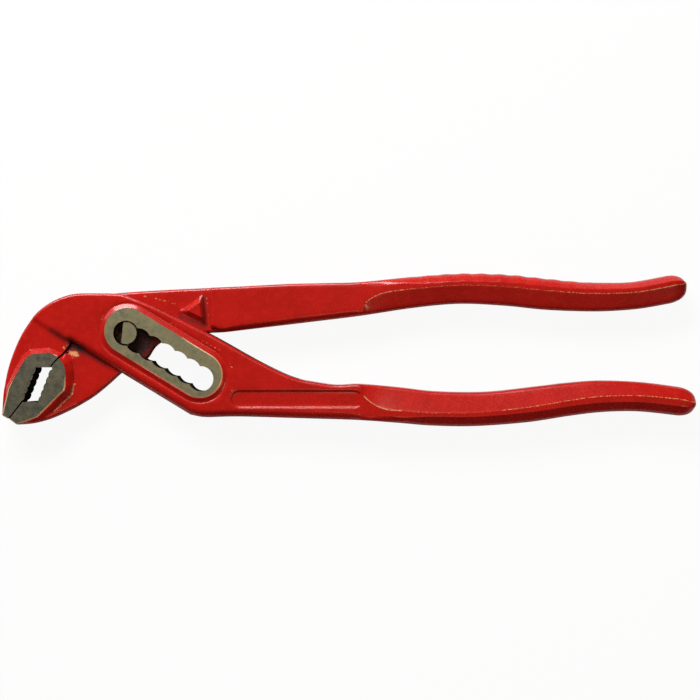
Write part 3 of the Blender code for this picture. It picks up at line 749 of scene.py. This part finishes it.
def makeSlottedHalf():
    s = slottedHalf
    pairs = [fromLastPocket(p) for p in s["handle"]]
    neckInner = fromLastPocket(s["neckInner"])
    neckOuter = fromLastPocket(s["neckOuter"])
    handle = handleLines(pairs, s["ridge"], s["ridgeWidth"], False, (neckInner[-1], neckOuter[0]))
    crotch = sideways(jaws["crotch"], -jaws["splitGap"] / 2)
    tip = sideways(jaws["tip"], -jaws["splitGap"] / 2)
    boxCrotch = slotPoint(*jaws["boxCrotch"])
    corner = [slotPoint(*p) for p in s["boxCorner"]]
    upper = [slotPoint(*p) for p in s["boxUpper"]]
    backLine = curveThrough([*s["jawBack"], *upper, *neckInner, pairs[0][0]], after=pairs[1][0])
    innerLine = np.vstack([backLine[:-1], handle["lines"][0]])
    outerLine = handle["lines"][3][::-1]
    lead = (corner[0][0] + s["cornerLead"][0], corner[0][1] + s["cornerLead"][1])
    lowerLine = curveThrough([pairs[0][1], *neckOuter, lead], before=pairs[1][1])
    mouthTop = (crotch[-1][0], jaws["upperTeeth"][0][1])
    cut = np.vstack([[boxCrotch], crotch[1:], [mouthTop], jaws["upperTeeth"], tip])
    stretches = [
        ("width", outerLine),
        ("lower", np.vstack([lowerLine, corner])),
        ("lower", [corner[-1], boxCrotch]),
        ("cut", cut),
        ("tip", np.vstack([[tip[-1]], innerLine[:curveSteps + 1]])),
        ("width", innerLine[curveSteps:]),
    ]
    bossStart = slotPoint(0, box["bossShift"])
    bossStop = slotPoint(slotTravel - box["bossShort"], box["bossShift"])
    bossTop = stadium(bossStart, bossStop, box["bossRadius"])
    bossFoot = stadium(bossStart, bossStop, box["bossRadius"] + box["bossFoot"] * box["grooveEnd"])
    padTop = np.array(s["padTop"])
    padFoot = np.array(s["padFoot"])
    halfRun = (s["panelLength"] - s["panelWidth"]) / 2
    panelMid = fromLastPocket([s["panelCentre"]])[0]
    panelLine = [(panelMid[0] - halfRun, panelMid[1]), (panelMid[0] + halfRun, panelMid[1])]
    start = pairs[0][0][0]
    stepLine = np.array(s["jawStep"])
    ahead = (stepLine[1] - stepLine[0]) / np.hypot(*(stepLine[1] - stepLine[0]))

    def heightAt(points):
        plate = np.full(len(points), handleShape["forged"])
        tipSide = (points - stepLine[0]) @ np.array([-ahead[1], ahead[0]])
        plate -= (handleShape["forged"] - s["jawRoot"]) * ease((tipSide / s["stepHalf"] + 1) / 2)
        top = raised(points, padTop, padFoot, plate, handleShape["ground"])
        inBoss = insideOf(points, bossFoot)
        away = np.where(inBoss, distanceTo(points, bossTop, True) / box["bossFoot"], box["grooveEnd"])
        away = np.where(insideOf(points, bossTop), 0, away)
        boss = plate + (handleShape["ground"] - plate) * (1 - np.clip(away, 0, 1)) ** box["bossFall"]
        deepening = ease((away - box["grooveFrom"]) / box["grooveIn"])
        boss -= box["bossGroove"] * deepening * ease((box["grooveEnd"] - away) / box["grooveOut"])
        overBoss = np.where(boss > plate, np.maximum(top, boss), boss)
        top = np.where(away < box["grooveEnd"], overBoss, top)
        top -= rimDrop(points, padTop) + rimDrop(points, bossTop)
        panel = distanceTo(points, panelLine)
        top -= s["panelDepth"] * ease(((s["panelWidth"] + s["panelWall"]) / 2 - panel) / s["panelWall"])
        return np.where(points[:, 0] > start, handleHeight(points, handle), top)

    creases = rimLines(bossTop) + rimLines(padTop)
    for share in s["bossLines"]:
        creases.append(stadiumLine(bossStart, bossStop, box["bossRadius"] + share * box["bossFoot"]))
    creases += slopeLines(padTop, padFoot)
    for outset in s["panelLines"]:
        creases.append(stadiumLine(*panelLine, s["panelWidth"] / 2 + outset))
    creases += besideRidges(handle)
    creases += besideLine(stepLine, s["stepLines"], creaseSpacing["jawStep"])

    paintedHighlight = s["paintedHighlight"] + ridgeMarks(handle, s["ridgeHighlights"])

    def marksAt(points):
        # painted shade marks and painted highlight marks
        return {"shadeAndGrease": marked(points, s["shadeAndGrease"]), "paintedHighlight": marked(points, paintedHighlight)}

    grounds = [(padTop, jawSteel), (bossTop, bossSteel)]
    return plateMesh("slottedHalfForging", stretches, [toothedSlot()], creases, heightAt, grounds,
                     finishOrder, marksAt, boxChannel())


# The gap between the box walls, where the web of the other half turns and slides
def boxChannel():
    s = slottedHalf
    left = arcPoints((0, 0), s["webRadius"], *s["webArc"])
    right = fromLastPocket(arcPoints((0, 0), s["sweepRadius"], *s["sweepArc"]))
    outline = [
        slotPoint(*jaws["boxCrotch"]), *left, *s["channelAbove"], *s["channelNeck"], *right,
        *s["channelFoot"], *s["channelBelow"],
    ]
    return {"outline": np.array(outline), "half": s["channelHalf"]}


# Turns the piece's modifiers into its mesh
def bake(piece):
    bpy.context.view_layer.update()
    evaluated = piece.evaluated_get(bpy.context.evaluated_depsgraph_get())
    mesh = bpy.data.meshes.new_from_object(evaluated)
    piece.modifiers.clear()
    piece.data = mesh


innerHalf = {
    "webRadius": 17.5,
    "webArc": (187, 130, 40),
    "webHalf": 2.05,
    "stepX": 30.4,
    "stepTop": 17.5,
    "neckBeyond": [(30.4, 40.0), (260.0, 40.0), (260.0, -4.0), (60.0, -4.0)],
    "webTop": [(-2.6, 14.7), (12.7, 15.7), (29.9, 16.5)],
    "webBottom": [
        (29.0, 0.2), (12.7, -3.1), (7.3, -9.0), (3.0, -11.6), (-1.7, -14.0), (-6.7, -18.4), (-12.1, -22.8),
        (-17.6, -26.2), (-21.0, -28.0), (-26.7, -30.6), (-31.6, -32.2), (-35.8, -33.0), (-39.6, -33.2),
    ],
    "webSteps": 8,
    "neckOuter": [(41.4, 17.0), (58.8, 17.9), (71.0, 18.2)],
    "neckInner": [(65.5, 4.1), (48.8, 2.1)],
    "neckFoot": [(35.5, 0.5), (30.4, 2.42)],
    "handle": [
        ((84.9, 6.5), (84.9, 18.6)), ((104.3, 9.4), (102.5, 20.4)), ((121.0, 10.9), (120.5, 21.8)),
        ((137.6, 10.2), (137.6, 21.5)), ((151.5, 8.8), (151.5, 20.1)), ((164.2, 8.2), (164.2, 18.8)),
        ((175.0, 8.2), (174.5, 18.4)), ((187.0, 9.1), (184.5, 18.7)), ((198.0, 11.0), (195.8, 20.7)),
    ],
    "ridge": (0.60, 0.61),
    "ridgeWidth": (0.12, 0.16),
    # painted highlights along the first ridge: from point, to point, strength
    "ridgeHighlights": [(1, 12, 0.76), (12, 40, 0.66), (40, 90, 0.74)],
    "padTop": [
        (-42.5, -30.9), (-39.7, -33.0), (-36.6, -32.1), (-32.0, -30.4), (-26.2, -24.5), (-22.5, -21.0),
        (-21.9, -19.2), (-21.9, -14.1), (-22.5, -11.3), (-23.9, -9.4), (-25.0, -8.8), (-38.2, -24.8),
    ],
    "padFoot": [
        (-42.5, -30.9), (-39.6, -33.2), (-35.8, -32.9), (-32.3, -32.4), (-26.0, -28.0), (-20.2, -22.4),
        (-19.2, -19.4), (-19.2, -13.6), (-19.9, -9.9), (-21.6, -7.2), (-22.4, -6.4), (-38.2, -24.8),
    ],
    "stop": [(16.2, 26.5), (23.8, 17.6), (12.0, 16.7)],
    "stopSlope": 1.85,
    "stopHeight": 3.8,
    "stepRound": 1.2,
    "stepLines": (0.0, -0.02, -0.1, -0.25, -0.5, -0.8, -1.2),
    "swell": 1.05,        # the jaw is thicker than the web where it never enters the box
    "swellFrom": 0.7,
    "swellRun": 7.5,
    "opening": 66,
    "tipSwell": 0.9,
    "tipFrom": -23,
    "tipRun": 8,
    # Painted shade on the web where the box walls cover it, darkest round the bolt
    "shadeLine": [slotPoint(-3, 0), slotPoint(19, 0)],
    "paintedShade": 9.0,        # the web is darkened with painted shade out to here from that line
    "shadeFade": 3.0,
    "shadeDarkest": 8.0,   # and darkest out to here from the bolt
    "shadeThins": 4.0,
    "shadeLeast": 0.7,
    # Painted shade marks: under the box lip at the crotch, along the lip, and in the valley beside the stop
    "shadeAndGrease": [
        ([(-20.3, -4.4), (-16.4, -6.2)], 1.6, 1.0),
        ([slotPoint(-15.7, -13.4), slotPoint(-1.0, -13.4)], 1.0, 0.85),
        ([(27.9, 12.6), (28.3, 2.6), (19.4, 6.3)], 1.0, 0.7),
    ],
    # Painted highlights: a warm spot by the crotch, the lower pad's foot, specks on the web by the box edge,
    # on the neck step and on the stop's lower bevel
    "paintedHighlight": [
        ([(-20.6, -7.1), (-18.2, -7.8)], 1.2, 1.05),
        ([(-19.3, -18.4), (-20.1, -22.2), (-26.2, -28.3)], 0.5, 0.95),
        ([(4.4, 13.8), (10.5, 12.6), (17.5, 10.9)], 0.7, 0.69),
        ([(29.2, 12.6), (29.7, 5.0), (30.3, 3.0)], 0.5, 0.73),
        ([(20.3, 6.9), (27.6, 3.4)], 0.35, 0.74),
    ],
    "holeRadius": 4.25,
    "holeSides": 72,
}


def makeInnerHalf():
    s = innerHalf
    before = (s["neckInner"][0], s["neckOuter"][-1])
    pairs = s["handle"]
    handle = handleLines(pairs, s["ridge"], s["ridgeWidth"], True, before)
    crotch = sideways(jaws["crotch"], jaws["splitGap"] / 2)
    tip = sideways(jaws["tip"], jaws["splitGap"] / 2)
    arc = arcPoints((0, 0), s["webRadius"], *s["webArc"])
    topLine = curveThrough([tuple(arc[-1]), *s["webTop"], *s["neckOuter"], pairs[0][1]], after=pairs[1][1])
    outerLine = np.vstack([topLine[:-1], handle["lines"][3]])
    neckLine = curveThrough([pairs[0][0], *s["neckInner"], s["neckFoot"][0]], before=pairs[1][0])
    webLine = np.vstack([[s["neckFoot"][0]], curveThrough(s["webBottom"], s["webSteps"])])
    belowPad = len(webLine) - 2 * s["webSteps"]
    front = np.vstack([webLine[belowPad - 1:], [tip[-1]]])
    cut = np.vstack([crotch, jaws["lowerTeeth"], jaws["mouthFloor"], tip])[::-1]
    stretches = [
        ("width", outerLine),
        ("width", handle["lines"][0][::-1]),
        ("neck", neckLine),
        ("width", webLine[:belowPad]),
        ("tip", front),
        ("cut", cut),
        ("cut", np.vstack([[crotch[0]], arc])),
    ]
    neck = np.array([*s["neckFoot"], *s["neckBeyond"]])
    stepLine = np.array([*s["neckFoot"], (s["stepX"], s["stepTop"])])
    corners = np.array([slotPoint(*p) for p in s["stop"]])
    middle = corners.mean(0)
    radius = np.hypot(*(corners - middle).T).mean()
    stopTop = middle + (corners - middle) * (1 - 2 * s["stopSlope"] / radius)
    start = s["handle"][0][0][0]
    padTop = np.array(s["padTop"])
    padFoot = np.array(s["padFoot"])

    def heightAt(points):
        along, across = slotFrame(points)
        wide = math.radians(s["opening"])
        opened = along * math.sin(wide) + across * math.cos(wide)
        outside = jaws["boxCrotch"][1] - np.maximum(across, opened)
        web = s["webHalf"] + s["swell"] * ease((outside - s["swellFrom"]) / s["swellRun"])
        web += s["tipSwell"] * ease((s["tipFrom"] - points[:, 0]) / s["tipRun"])
        top = raised(points, padTop, padFoot, web, handleShape["ground"])
        top -= rimDrop(points, padTop)
        top = np.maximum(top, raised(points, stopTop, corners, web, s["stopHeight"]))
        inNeck = insideOf(points, neck)
        d = distanceTo(points, stepLine)
        r = s["stepRound"]
        rounding = np.where(d < r, r - np.sqrt(np.maximum(r * r - (r - d) ** 2, 0)), 0)
        top = np.where(inNeck, handleShape["forged"] - rounding, top)
        return np.where(points[:, 0] > start, handleHeight(points, handle), top)

    creases = rimLines(padTop) + slopeLines(padTop, padFoot) + slopeLines(stopTop, corners)
    creases += [evenly(pair, creaseSpacing["corner"]) for pair in zip(corners, stopTop)]
    creases += besideLine(stepLine, s["stepLines"], creaseSpacing["neckStep"])
    creases += besideRidges(handle)
    hole = arcPoints((0, 0), s["holeRadius"], 0, 360, s["holeSides"])[:-1]
    paintedHighlight = s["paintedHighlight"] + ridgeMarks(handle, s["ridgeHighlights"])

    def marksAt(points):
        # painted shade on the web inside the box, with the painted shade and painted highlight marks
        fromBolt = np.hypot(points[:, 0], points[:, 1])
        fromSlot = distanceTo(points, s["shadeLine"])
        paintedShade = mix(1.0, s["shadeLeast"], ease((fromBolt - s["shadeDarkest"]) / s["shadeThins"]))
        paintedShade *= ease((s["paintedShade"] - fromSlot) / s["shadeFade"])
        return {"shadeAndGrease": np.maximum(paintedShade, marked(points, s["shadeAndGrease"])), "paintedHighlight": marked(points, paintedHighlight)}

    return plateMesh("innerHalfForging", stretches, [hole], creases, heightAt, [(padTop, jawSteel)],
                     finishOrder[:bossSteel], marksAt)


# Pivot bolt: round in the middle, a flat at each end, so that it can only leave a pocket one way

bolt = {
    "radius": 4.2,
    "flatDistance": 1.4,
    "flatAngle": 173.7,
    "chamfer": 0.3,
    "flatFrom": 2.35,     # half height where the flats begin
    "sides": 120,
}


def makeBolt():
    facing = math.radians(bolt["flatAngle"])
    out = np.array([math.cos(facing), math.sin(facing)])
    ring = arcPoints((0, 0), bolt["radius"], 0, 360, bolt["sides"])[:-1]
    toFlat = ring @ out
    flat = bolt["flatDistance"]
    cut = ring * np.where(toFlat > flat, flat / np.maximum(toFlat, 0.1), 1)[:, None]
    small = cut * (1 - bolt["chamfer"] / bolt["radius"])
    half = handleShape["ground"]
    foot = bolt["flatFrom"]
    heights = [(small, half), (cut, half - bolt["chamfer"]), (cut, foot), (ring, foot)]
    levels = [(line, -h) for line, h in heights] + [(line, h) for line, h in reversed(heights)]
    shape = bmesh.new()
    rings = []
    for line, h in levels:
        rings.append([shape.verts.new((x * mm, y * mm, (midHeight + h) * mm)) for x, y in line])
    for low, top in zip(rings, rings[1:]):
        for i in range(len(low)):
            j = (i + 1) % len(low)
            shape.faces.new((low[i], low[j], top[j], top[i])).material_index = 1
    shape.faces.new(rings[0][::-1])
    shape.faces.new(rings[-1])
    bmesh.ops.remove_doubles(shape, verts=shape.verts, dist=0.002 * mm)
    bmesh.ops.recalc_face_normals(shape, faces=shape.faces)
    return meshPiece("pivotBoltTurned", shape, [finish["boss"], finish["oxide"]])


# Jaw teeth: a row of rounded ribs along each side of the mouth

teeth = {
    "count": 5,
    "height": 0.75,
    "cover": 1.14,        # width of a rib over the pitch, so that the valleys are shallow
    "sunk": 0.03,         # its ends lie this much below the ground faces
    "sides": 28,
    "endFacing": 0.9,     # a rib's end faces point along z by more than this
}


# Sets a node's inputs, given by name or in their order, to values or to other nodes' outputs
def setInputs(tree, node, given):
    for name, value in given.items() if isinstance(given, dict) else enumerate(given):
        if isinstance(value, bpy.types.NodeSocket):
            tree.links.new(value, node.inputs[name])
        else:
            node.inputs[name].default_value = value


# Adds a node with its inputs and settings, and gives one of its outputs
def addNode(tree, kind, given=(), output=0, **settings):
    node = tree.nodes.new(kind)
    for name, value in settings.items():
        setattr(node, name, value)
    setInputs(tree, node, given)
    return node.outputs[output]


# The node tree of a row of ribs, and the names that its inputs go by on a modifier
def teethTree():
    tree = bpy.data.node_groups.new("jawTeeth", "GeometryNodeTree")
    sockets = {}
    kinds = {"Start": "Vector", "End": "Vector", "Teeth": "Int", "Tooth Height": "Float",
             "Tooth Length": "Float", "Cover": "Float", "Sides": "Int", "Finish": "Material"}
    for name, kind in kinds.items():
        sockets[name] = tree.interface.new_socket(name=name, in_out="INPUT", socket_type="NodeSocket" + kind)
    tree.interface.new_socket(name="Geometry", in_out="OUTPUT", socket_type="NodeSocketGeometry")
    given = tree.nodes.new("NodeGroupInput").outputs
    run = addNode(tree, "ShaderNodeVectorMath", (given["End"], given["Start"]), operation="SUBTRACT")
    one = addNode(tree, "ShaderNodeMath", (1.0, given["Teeth"]), operation="DIVIDE")
    step = addNode(tree, "ShaderNodeVectorMath", {0: run, "Scale": one}, operation="SCALE")
    half = addNode(tree, "ShaderNodeVectorMath", {0: step, "Scale": 0.5}, operation="SCALE")
    first = addNode(tree, "ShaderNodeVectorMath", (given["Start"], half), operation="ADD")
    row = {"Count": given["Teeth"], "Start Location": first, "Offset": step}
    rib = {"Vertices": given["Sides"], "Radius": 1.0, "Depth": given["Tooth Length"]}
    pitch = addNode(tree, "ShaderNodeVectorMath", (half,), "Value", operation="LENGTH")
    wide = addNode(tree, "ShaderNodeMath", (pitch, given["Cover"]), operation="MULTIPLY")
    placed = addNode(tree, "GeometryNodeInstanceOnPoints", {
        "Points": addNode(tree, "GeometryNodeMeshLine", row),
        "Instance": addNode(tree, "GeometryNodeMeshCylinder", rib, "Mesh"),
        "Rotation": addNode(tree, "FunctionNodeAlignRotationToVector", {"Vector": run}, axis="X"),
        "Scale": addNode(tree, "ShaderNodeCombineXYZ", {"X": wide, "Y": given["Tooth Height"], "Z": 1.0}),
    })
    real = addNode(tree, "GeometryNodeRealizeInstances", {"Geometry": placed})
    done = addNode(tree, "GeometryNodeSetMaterial", {"Geometry": real, "Material": given["Finish"]})
    tree.links.new(done, tree.nodes.new("NodeGroupOutput").inputs[0])
    return tree, {name: socket.identifier for name, socket in sockets.items()}


def makeTeeth(name, line, tree, names):
    piece = bpy.data.objects.new(name, bpy.data.meshes.new(name))
    bpy.context.scene.collection.objects.link(piece)
    rows = piece.modifiers.new("jawTeeth", "NODES")
    rows.node_group = tree
    values = {
        "Start": (line[0][0] * mm, line[0][1] * mm, midHeight * mm),
        "End": (line[1][0] * mm, line[1][1] * mm, midHeight * mm),
        "Teeth": teeth["count"],
        "Tooth Height": teeth["height"] * mm,
        "Tooth Length": 2 * (handleShape["ground"] - teeth["sunk"]) * mm,
        "Cover": teeth["cover"],
        "Sides": teeth["sides"],
        "Finish": finish["jaw"],
    }
    for given, value in values.items():
        rows[names[given]] = value
    bake(piece)
    piece.data.materials.clear()
    for kind in ("jaw", "dark"):
        piece.data.materials.append(finish[kind])
    for face in piece.data.polygons:
        face.material_index = 0 if abs(face.normal.z) > teeth["endFacing"] else 1
    return piece


# Finishes

def newFinish(name):
    material = bpy.data.materials.new(name)
    material.use_nodes = True
    return material, material.node_tree, material.node_tree.nodes["Principled BSDF"]


def perMillimetre(size):
    return 1 / (size * mm)


mostClouds = (0.3, 0.7)       # nearly all of a noise's values lie between these
fully = (0.0, 1.0)

enamel = {
    "red": "#c21a12",
    "deep": "#b4160e",
    "bright": "#cb2016",
    "thin": "#4c1510",        # steel and primer grin through on the sharpest edges
    "thinNear": (0.05, 0.3),
    "thinShare": (0.65, 0.0),
    # painted shade colour, patchy with the grain; the same layer also dulls the gloss
    "paintedShade": "#140706",
    "shadePatchy": (0.85, 1.1),
    "greaseDull": 0.35,
    "paintedHighlight": "#ecab74",      # painted warm highlight, in specks where its layer marks it
    "through": (1.12, 1.3),   # mark plus grain where the painted highlight first shows and is full
    "throughShare": (0.0, 0.8),
    "clouds": [(11.0, 3.0), (2.1, 1.5), (0.7, 2.0)],      # size and detail of the slow, peel and grain clouds
    "peelHigh": (0.45, 0.75),
    "peelBright": (0.0, 0.6),
    "peelBump": {"Distance": 0.05 * mm, "Strength": 0.8},
    "grainBump": {"Distance": 0.012 * mm, "Strength": 0.6},
    "gloss": (0.2, 0.32),
    "ior": 1.5,
    "specular": 0.36,
    "coat": 0.18,
    "coatRoughness": 0.1,
}


# Baked red enamel on drop forged steel: thick, glossy, wavy like orange peel, thin and dark along sharp
# edges, with painted shade and painted highlight specks laid in from vertex layers
def enamelPaint():
    e = enamel
    material, tree, shader = newFinish("bakedRedEnamel")
    place = addNode(tree, "ShaderNodeTexCoord", output="Object")
    fields = []
    for size, detail in e["clouds"]:
        given = {"Vector": place, "Scale": perMillimetre(size), "Detail": detail}
        fields.append(addNode(tree, "ShaderNodeTexNoise", given, "Fac"))
    cloud, peel, grain = fields
    edge, shadeAndGrease, paintedHighlight = [
        addNode(tree, "ShaderNodeAttribute", output="Fac", attribute_name=name) for name in vertexLayers
    ]
    patches = addNode(tree, "ShaderNodeMapRange", (grain, *mostClouds, *e["shadePatchy"]))
    specks = addNode(tree, "ShaderNodeMath", (paintedHighlight, grain), operation="ADD")
    base = hexColour(e["deep"])
    for colour, share in (
        ("red", addNode(tree, "ShaderNodeMapRange", (cloud, *mostClouds, *fully))),
        ("bright", addNode(tree, "ShaderNodeMapRange", (peel, *e["peelHigh"], *e["peelBright"]))),
        ("thin", addNode(tree, "ShaderNodeMapRange", (edge, *e["thinNear"], *e["thinShare"]))),
        # painted shade, patchy with the grain
        ("paintedShade", addNode(tree, "ShaderNodeMath", (shadeAndGrease, patches), operation="MULTIPLY")),
        # painted highlight specks
        ("paintedHighlight", addNode(tree, "ShaderNodeMapRange", (specks, *e["through"], *e["throughShare"]))),
    ):
        mixed = {0: share, 6: base, 7: hexColour(e[colour])}
        base = addNode(tree, "ShaderNodeMix", mixed, 2, data_type="RGBA")
    gloss = addNode(tree, "ShaderNodeMapRange", (grain, *mostClouds, *e["gloss"]))
    dull = addNode(tree, "ShaderNodeMath", (shadeAndGrease, e["greaseDull"], gloss), operation="MULTIPLY_ADD")
    coat = addNode(tree, "ShaderNodeMath", (shadeAndGrease, -e["coat"], e["coat"]), operation="MULTIPLY_ADD")
    wavy = addNode(tree, "ShaderNodeBump", {"Height": peel, **e["peelBump"]})
    setInputs(tree, shader, {
        "Base Color": base,
        "Roughness": dull,
        "Normal": addNode(tree, "ShaderNodeBump", {"Height": grain, "Normal": wavy, **e["grainBump"]}),
        "IOR": e["ior"],
        "Specular IOR Level": e["specular"],
        "Coat Weight": coat,
        "Coat Roughness": e["coatRoughness"],
    })
    return material


# Real scratches are finer than a pixel of the render, so they are drawn coarse enough to show
steel = {
    "scratch": (1.3, 0.5, 1.3),   # size along x, y and z, before the pattern is turned
    "scratchDetail": 3.0,
    "scratchBump": {"Distance": 0.02 * mm, "Strength": 0.7},
    "stain": 2.6,
    "stained": (0.42, 0.62),
    "stainShare": (0.0, 0.6),
    "rougher": (-0.06, 0.08),     # change of roughness from the least to the most stained
    "pit": 0.9,
    "pitted": (0.35, 0.75),
    "pitBump": {"Distance": 0.03 * mm, "Strength": 1.0},
    "pitSpecular": 0.15,
    "detail": 4.0,
}


# Steel ground flat on a belt after painting: short straight scratches all one way, dull olive grey
def groundSteel(name, light, dark, brown, angle, roughness, metallic=1.0):
    material, tree, shader = newFinish(name)
    place = addNode(tree, "ShaderNodeTexCoord", output="Object")
    turned = addNode(tree, "ShaderNodeMapping", {
        "Vector": place,
        "Rotation": (0, 0, math.radians(angle)),
        "Scale": [perMillimetre(size) for size in steel["scratch"]],
    })
    given = {"Vector": turned, "Scale": 1.0, "Detail": steel["scratchDetail"]}
    scratch = addNode(tree, "ShaderNodeTexNoise", given, "Fac")
    given = {"Vector": place, "Scale": perMillimetre(steel["stain"]), "Detail": steel["detail"]}
    stain = addNode(tree, "ShaderNodeTexNoise", given, "Fac")
    worn = hexColour(dark)
    for colour, share in (
        (light, addNode(tree, "ShaderNodeMapRange", (scratch, *mostClouds, *fully))),
        (brown, addNode(tree, "ShaderNodeMapRange", (stain, *steel["stained"], *steel["stainShare"]))),
    ):
        worn = addNode(tree, "ShaderNodeMix", {0: share, 6: worn, 7: hexColour(colour)}, 2, data_type="RGBA")
    rough = [roughness + change for change in steel["rougher"]]
    setInputs(tree, shader, {
        "Base Color": worn,
        "Roughness": addNode(tree, "ShaderNodeMapRange", (stain, *mostClouds, *rough)),
        "Normal": addNode(tree, "ShaderNodeBump", {"Height": scratch, **steel["scratchBump"]}),
        "Metallic": metallic,
    })
    return material


# Bare walls that no wheel reaches, dark with scale and oil; on the slit and pocket walls the near black is
# partly painted shade
def scaledSteel(name, colour, rust, roughness):
    material, tree, shader = newFinish(name)
    place = addNode(tree, "ShaderNodeTexCoord", output="Object")
    given = {"Vector": place, "Scale": perMillimetre(steel["pit"]), "Detail": steel["detail"]}
    pits = addNode(tree, "ShaderNodeTexNoise", given, "Fac")
    share = addNode(tree, "ShaderNodeMapRange", (pits, *steel["pitted"], *fully))
    mixed = {0: share, 6: hexColour(colour), 7: hexColour(rust)}
    setInputs(tree, shader, {
        "Base Color": addNode(tree, "ShaderNodeMix", mixed, 2, data_type="RGBA"),
        "Normal": addNode(tree, "ShaderNodeBump", {"Height": pits, **steel["pitBump"]}),
        "Roughness": roughness,
        "Specular IOR Level": steel["pitSpecular"],
    })
    return material


finish = {
    "enamel": enamelPaint(),
    "jaw": groundSteel("groundJawSteel", "#a2a28e", "#828472", "#9a8c74", angle=62, roughness=0.44),
    "boss": groundSteel("groundBossSteel", "#b9b492", "#9f9f7e", "#ae9f78", angle=-31, roughness=0.48),
    # filed corner: bare steel made light beige and less metallic, partly a painted warm reflection
    "rim": groundSteel("filedCornerSteelAndGlint", "#e6c8a0", "#d2ae84", "#cca078", angle=10, roughness=0.4,
                       metallic=0.35),
    # walls of slits, pockets and the box channel: near black, partly scale and oil and partly painted shade
    "dark": scaledSteel("scaledSteelAndPaintedShade", "#080706", "#17120e", roughness=0.75),
    "oxide": scaledSteel("brownedBoltSteel", "#1c110a", "#55391f", roughness=0.55),
}
print("finishes made")

pieces = [
    (makeSlottedHalf(), "slotted_half", "slotted_half", "red_enamel_slotted_half"),
    (makeInnerHalf(), "inner_half", "inner_half", "red_enamel_inner_half"),
    (makeBolt(), "pivot_bolt", "pivot_bolt", "ground_steel_bolt"),
]
tree, names = teethTree()
upperRow = makeTeeth("upperJawTeeth", jaws["upperTeeth"], tree, names)
lowerRow = makeTeeth("lowerJawTeeth", jaws["lowerTeeth"], tree, names)
pieces.append((upperRow, None, "slotted_half", "red_enamel_slotted_half"))
pieces.append((lowerRow, None, "inner_half", "red_enamel_inner_half"))
print("bolt and teeth made")

crispAngle = {"pivot_bolt": 30, "others": 36}


# Smooth all over, but crisp at corners and wherever one finish meets another
def shadeCrisp(mesh, angle):
    mesh.shade_smooth()
    mesh.set_sharp_from_angle(angle=math.radians(angle))
    kinds = {}
    for face in mesh.polygons:
        for key in face.edge_keys:
            kinds.setdefault(key, set()).add(face.material_index)
    for edge in mesh.edges:
        if len(kinds[edge.key]) > 1:
            edge.use_edge_sharp = True


for piece, node, body, slot in pieces:
    shadeCrisp(piece.data, crispAngle.get(node, crispAngle["others"]))
    if node:
        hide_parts(node)
    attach(piece, body)

# Floor, lights and camera

studio = {
    "key": {"place": (-0.18, 0.67, 0.47), "size": (0.65, 0.27), "power": 9.8, "colour": "#ffffff"},
    "left": {"place": (-0.65, 0.4, 0.33), "size": (0.2, 0.15), "power": 0.4, "colour": "#ffffff"},
    "warm": {"place": (0.46, -0.28, 0.64), "size": (0.14, 0.14), "power": 0.6, "colour": "#ffdcb0"},
    "near": {"place": (0.12, -0.22, 0.6), "size": (0.1, 0.1), "power": 0.12, "colour": "#ffe2c0"},
    "far": {"place": (0.1, 0.22, 0.6), "size": (0.1, 0.1), "power": 0.2, "colour": "#fff0e0"},
    "aim": (0.08, 0.0, 0.005),
    "world": "#3c3c3c",
    "paper": "#fbfbfb",
    "paperSize": 3.0,
    "paperPlace": (0.08, 0, -0.0002),
    "glow": 0.93,         # share of the floor that is plain white to the camera, the rest shows the shadow
}


def areaLight(name, lamp):
    data = bpy.data.lights.new(name, "AREA")
    data.shape = "RECTANGLE"
    data.size, data.size_y = lamp["size"]
    data.energy = lamp["power"]
    data.color = hexColour(lamp["colour"])[:3]
    panel = bpy.data.objects.new(name, data)
    panel.location = lamp["place"]
    heading = Vector(studio["aim"]) - Vector(lamp["place"])
    panel.rotation_euler = heading.to_track_quat("-Z", "Y").to_euler()
    bpy.context.scene.collection.objects.link(panel)


# White paper, dull, and plain white to the camera but for a soft shadow
def floorPaper():
    material, tree, shader = newFinish("whitePaper")
    setInputs(tree, shader, {
        "Base Color": hexColour(studio["paper"]),
        "Roughness": 0.9,
        "Specular IOR Level": 0.0,
    })
    seen = addNode(tree, "ShaderNodeLightPath", output="Is Camera Ray")
    share = addNode(tree, "ShaderNodeMath", (seen, studio["glow"]), operation="MULTIPLY")
    white = addNode(tree, "ShaderNodeEmission", {"Strength": 1.0})
    both = addNode(tree, "ShaderNodeMixShader", (share, shader.outputs[0], white))
    tree.links.new(both, tree.nodes["Material Output"].inputs["Surface"])
    return material


shape = bmesh.new()
bmesh.ops.create_grid(shape, x_segments=1, y_segments=1, size=studio["paperSize"])
bmesh.ops.translate(shape, verts=shape.verts, vec=studio["paperPlace"])
floor = meshPiece("floor", shape, [floorPaper()])
for name in ("key", "left", "warm", "near", "far"):
    areaLight(name + "Panel", studio[name])
world = bpy.data.worlds.new("studio")
bpy.context.scene.world = world
world.use_nodes = True
tree = world.node_tree
seen = addNode(tree, "ShaderNodeLightPath", output="Is Camera Ray")
mixed = {0: seen, 6: hexColour(studio["world"]), 7: hexColour(studio["paper"])}
backdrop = addNode(tree, "ShaderNodeMix", mixed, 2, data_type="RGBA")
tree.links.new(backdrop, tree.nodes["Background"].inputs["Color"])

view = {"lens": 71.02, "place": (0.0812, -0.0061, 0.5105)}
cameraData = bpy.data.cameras.new("camera")
cameraData.lens = view["lens"]
camera = bpy.data.objects.new("camera", cameraData)
camera.location = view["place"]
bpy.context.scene.collection.objects.link(camera)
bpy.context.scene.camera = camera
bpy.context.scene.view_settings.view_transform = "Standard"
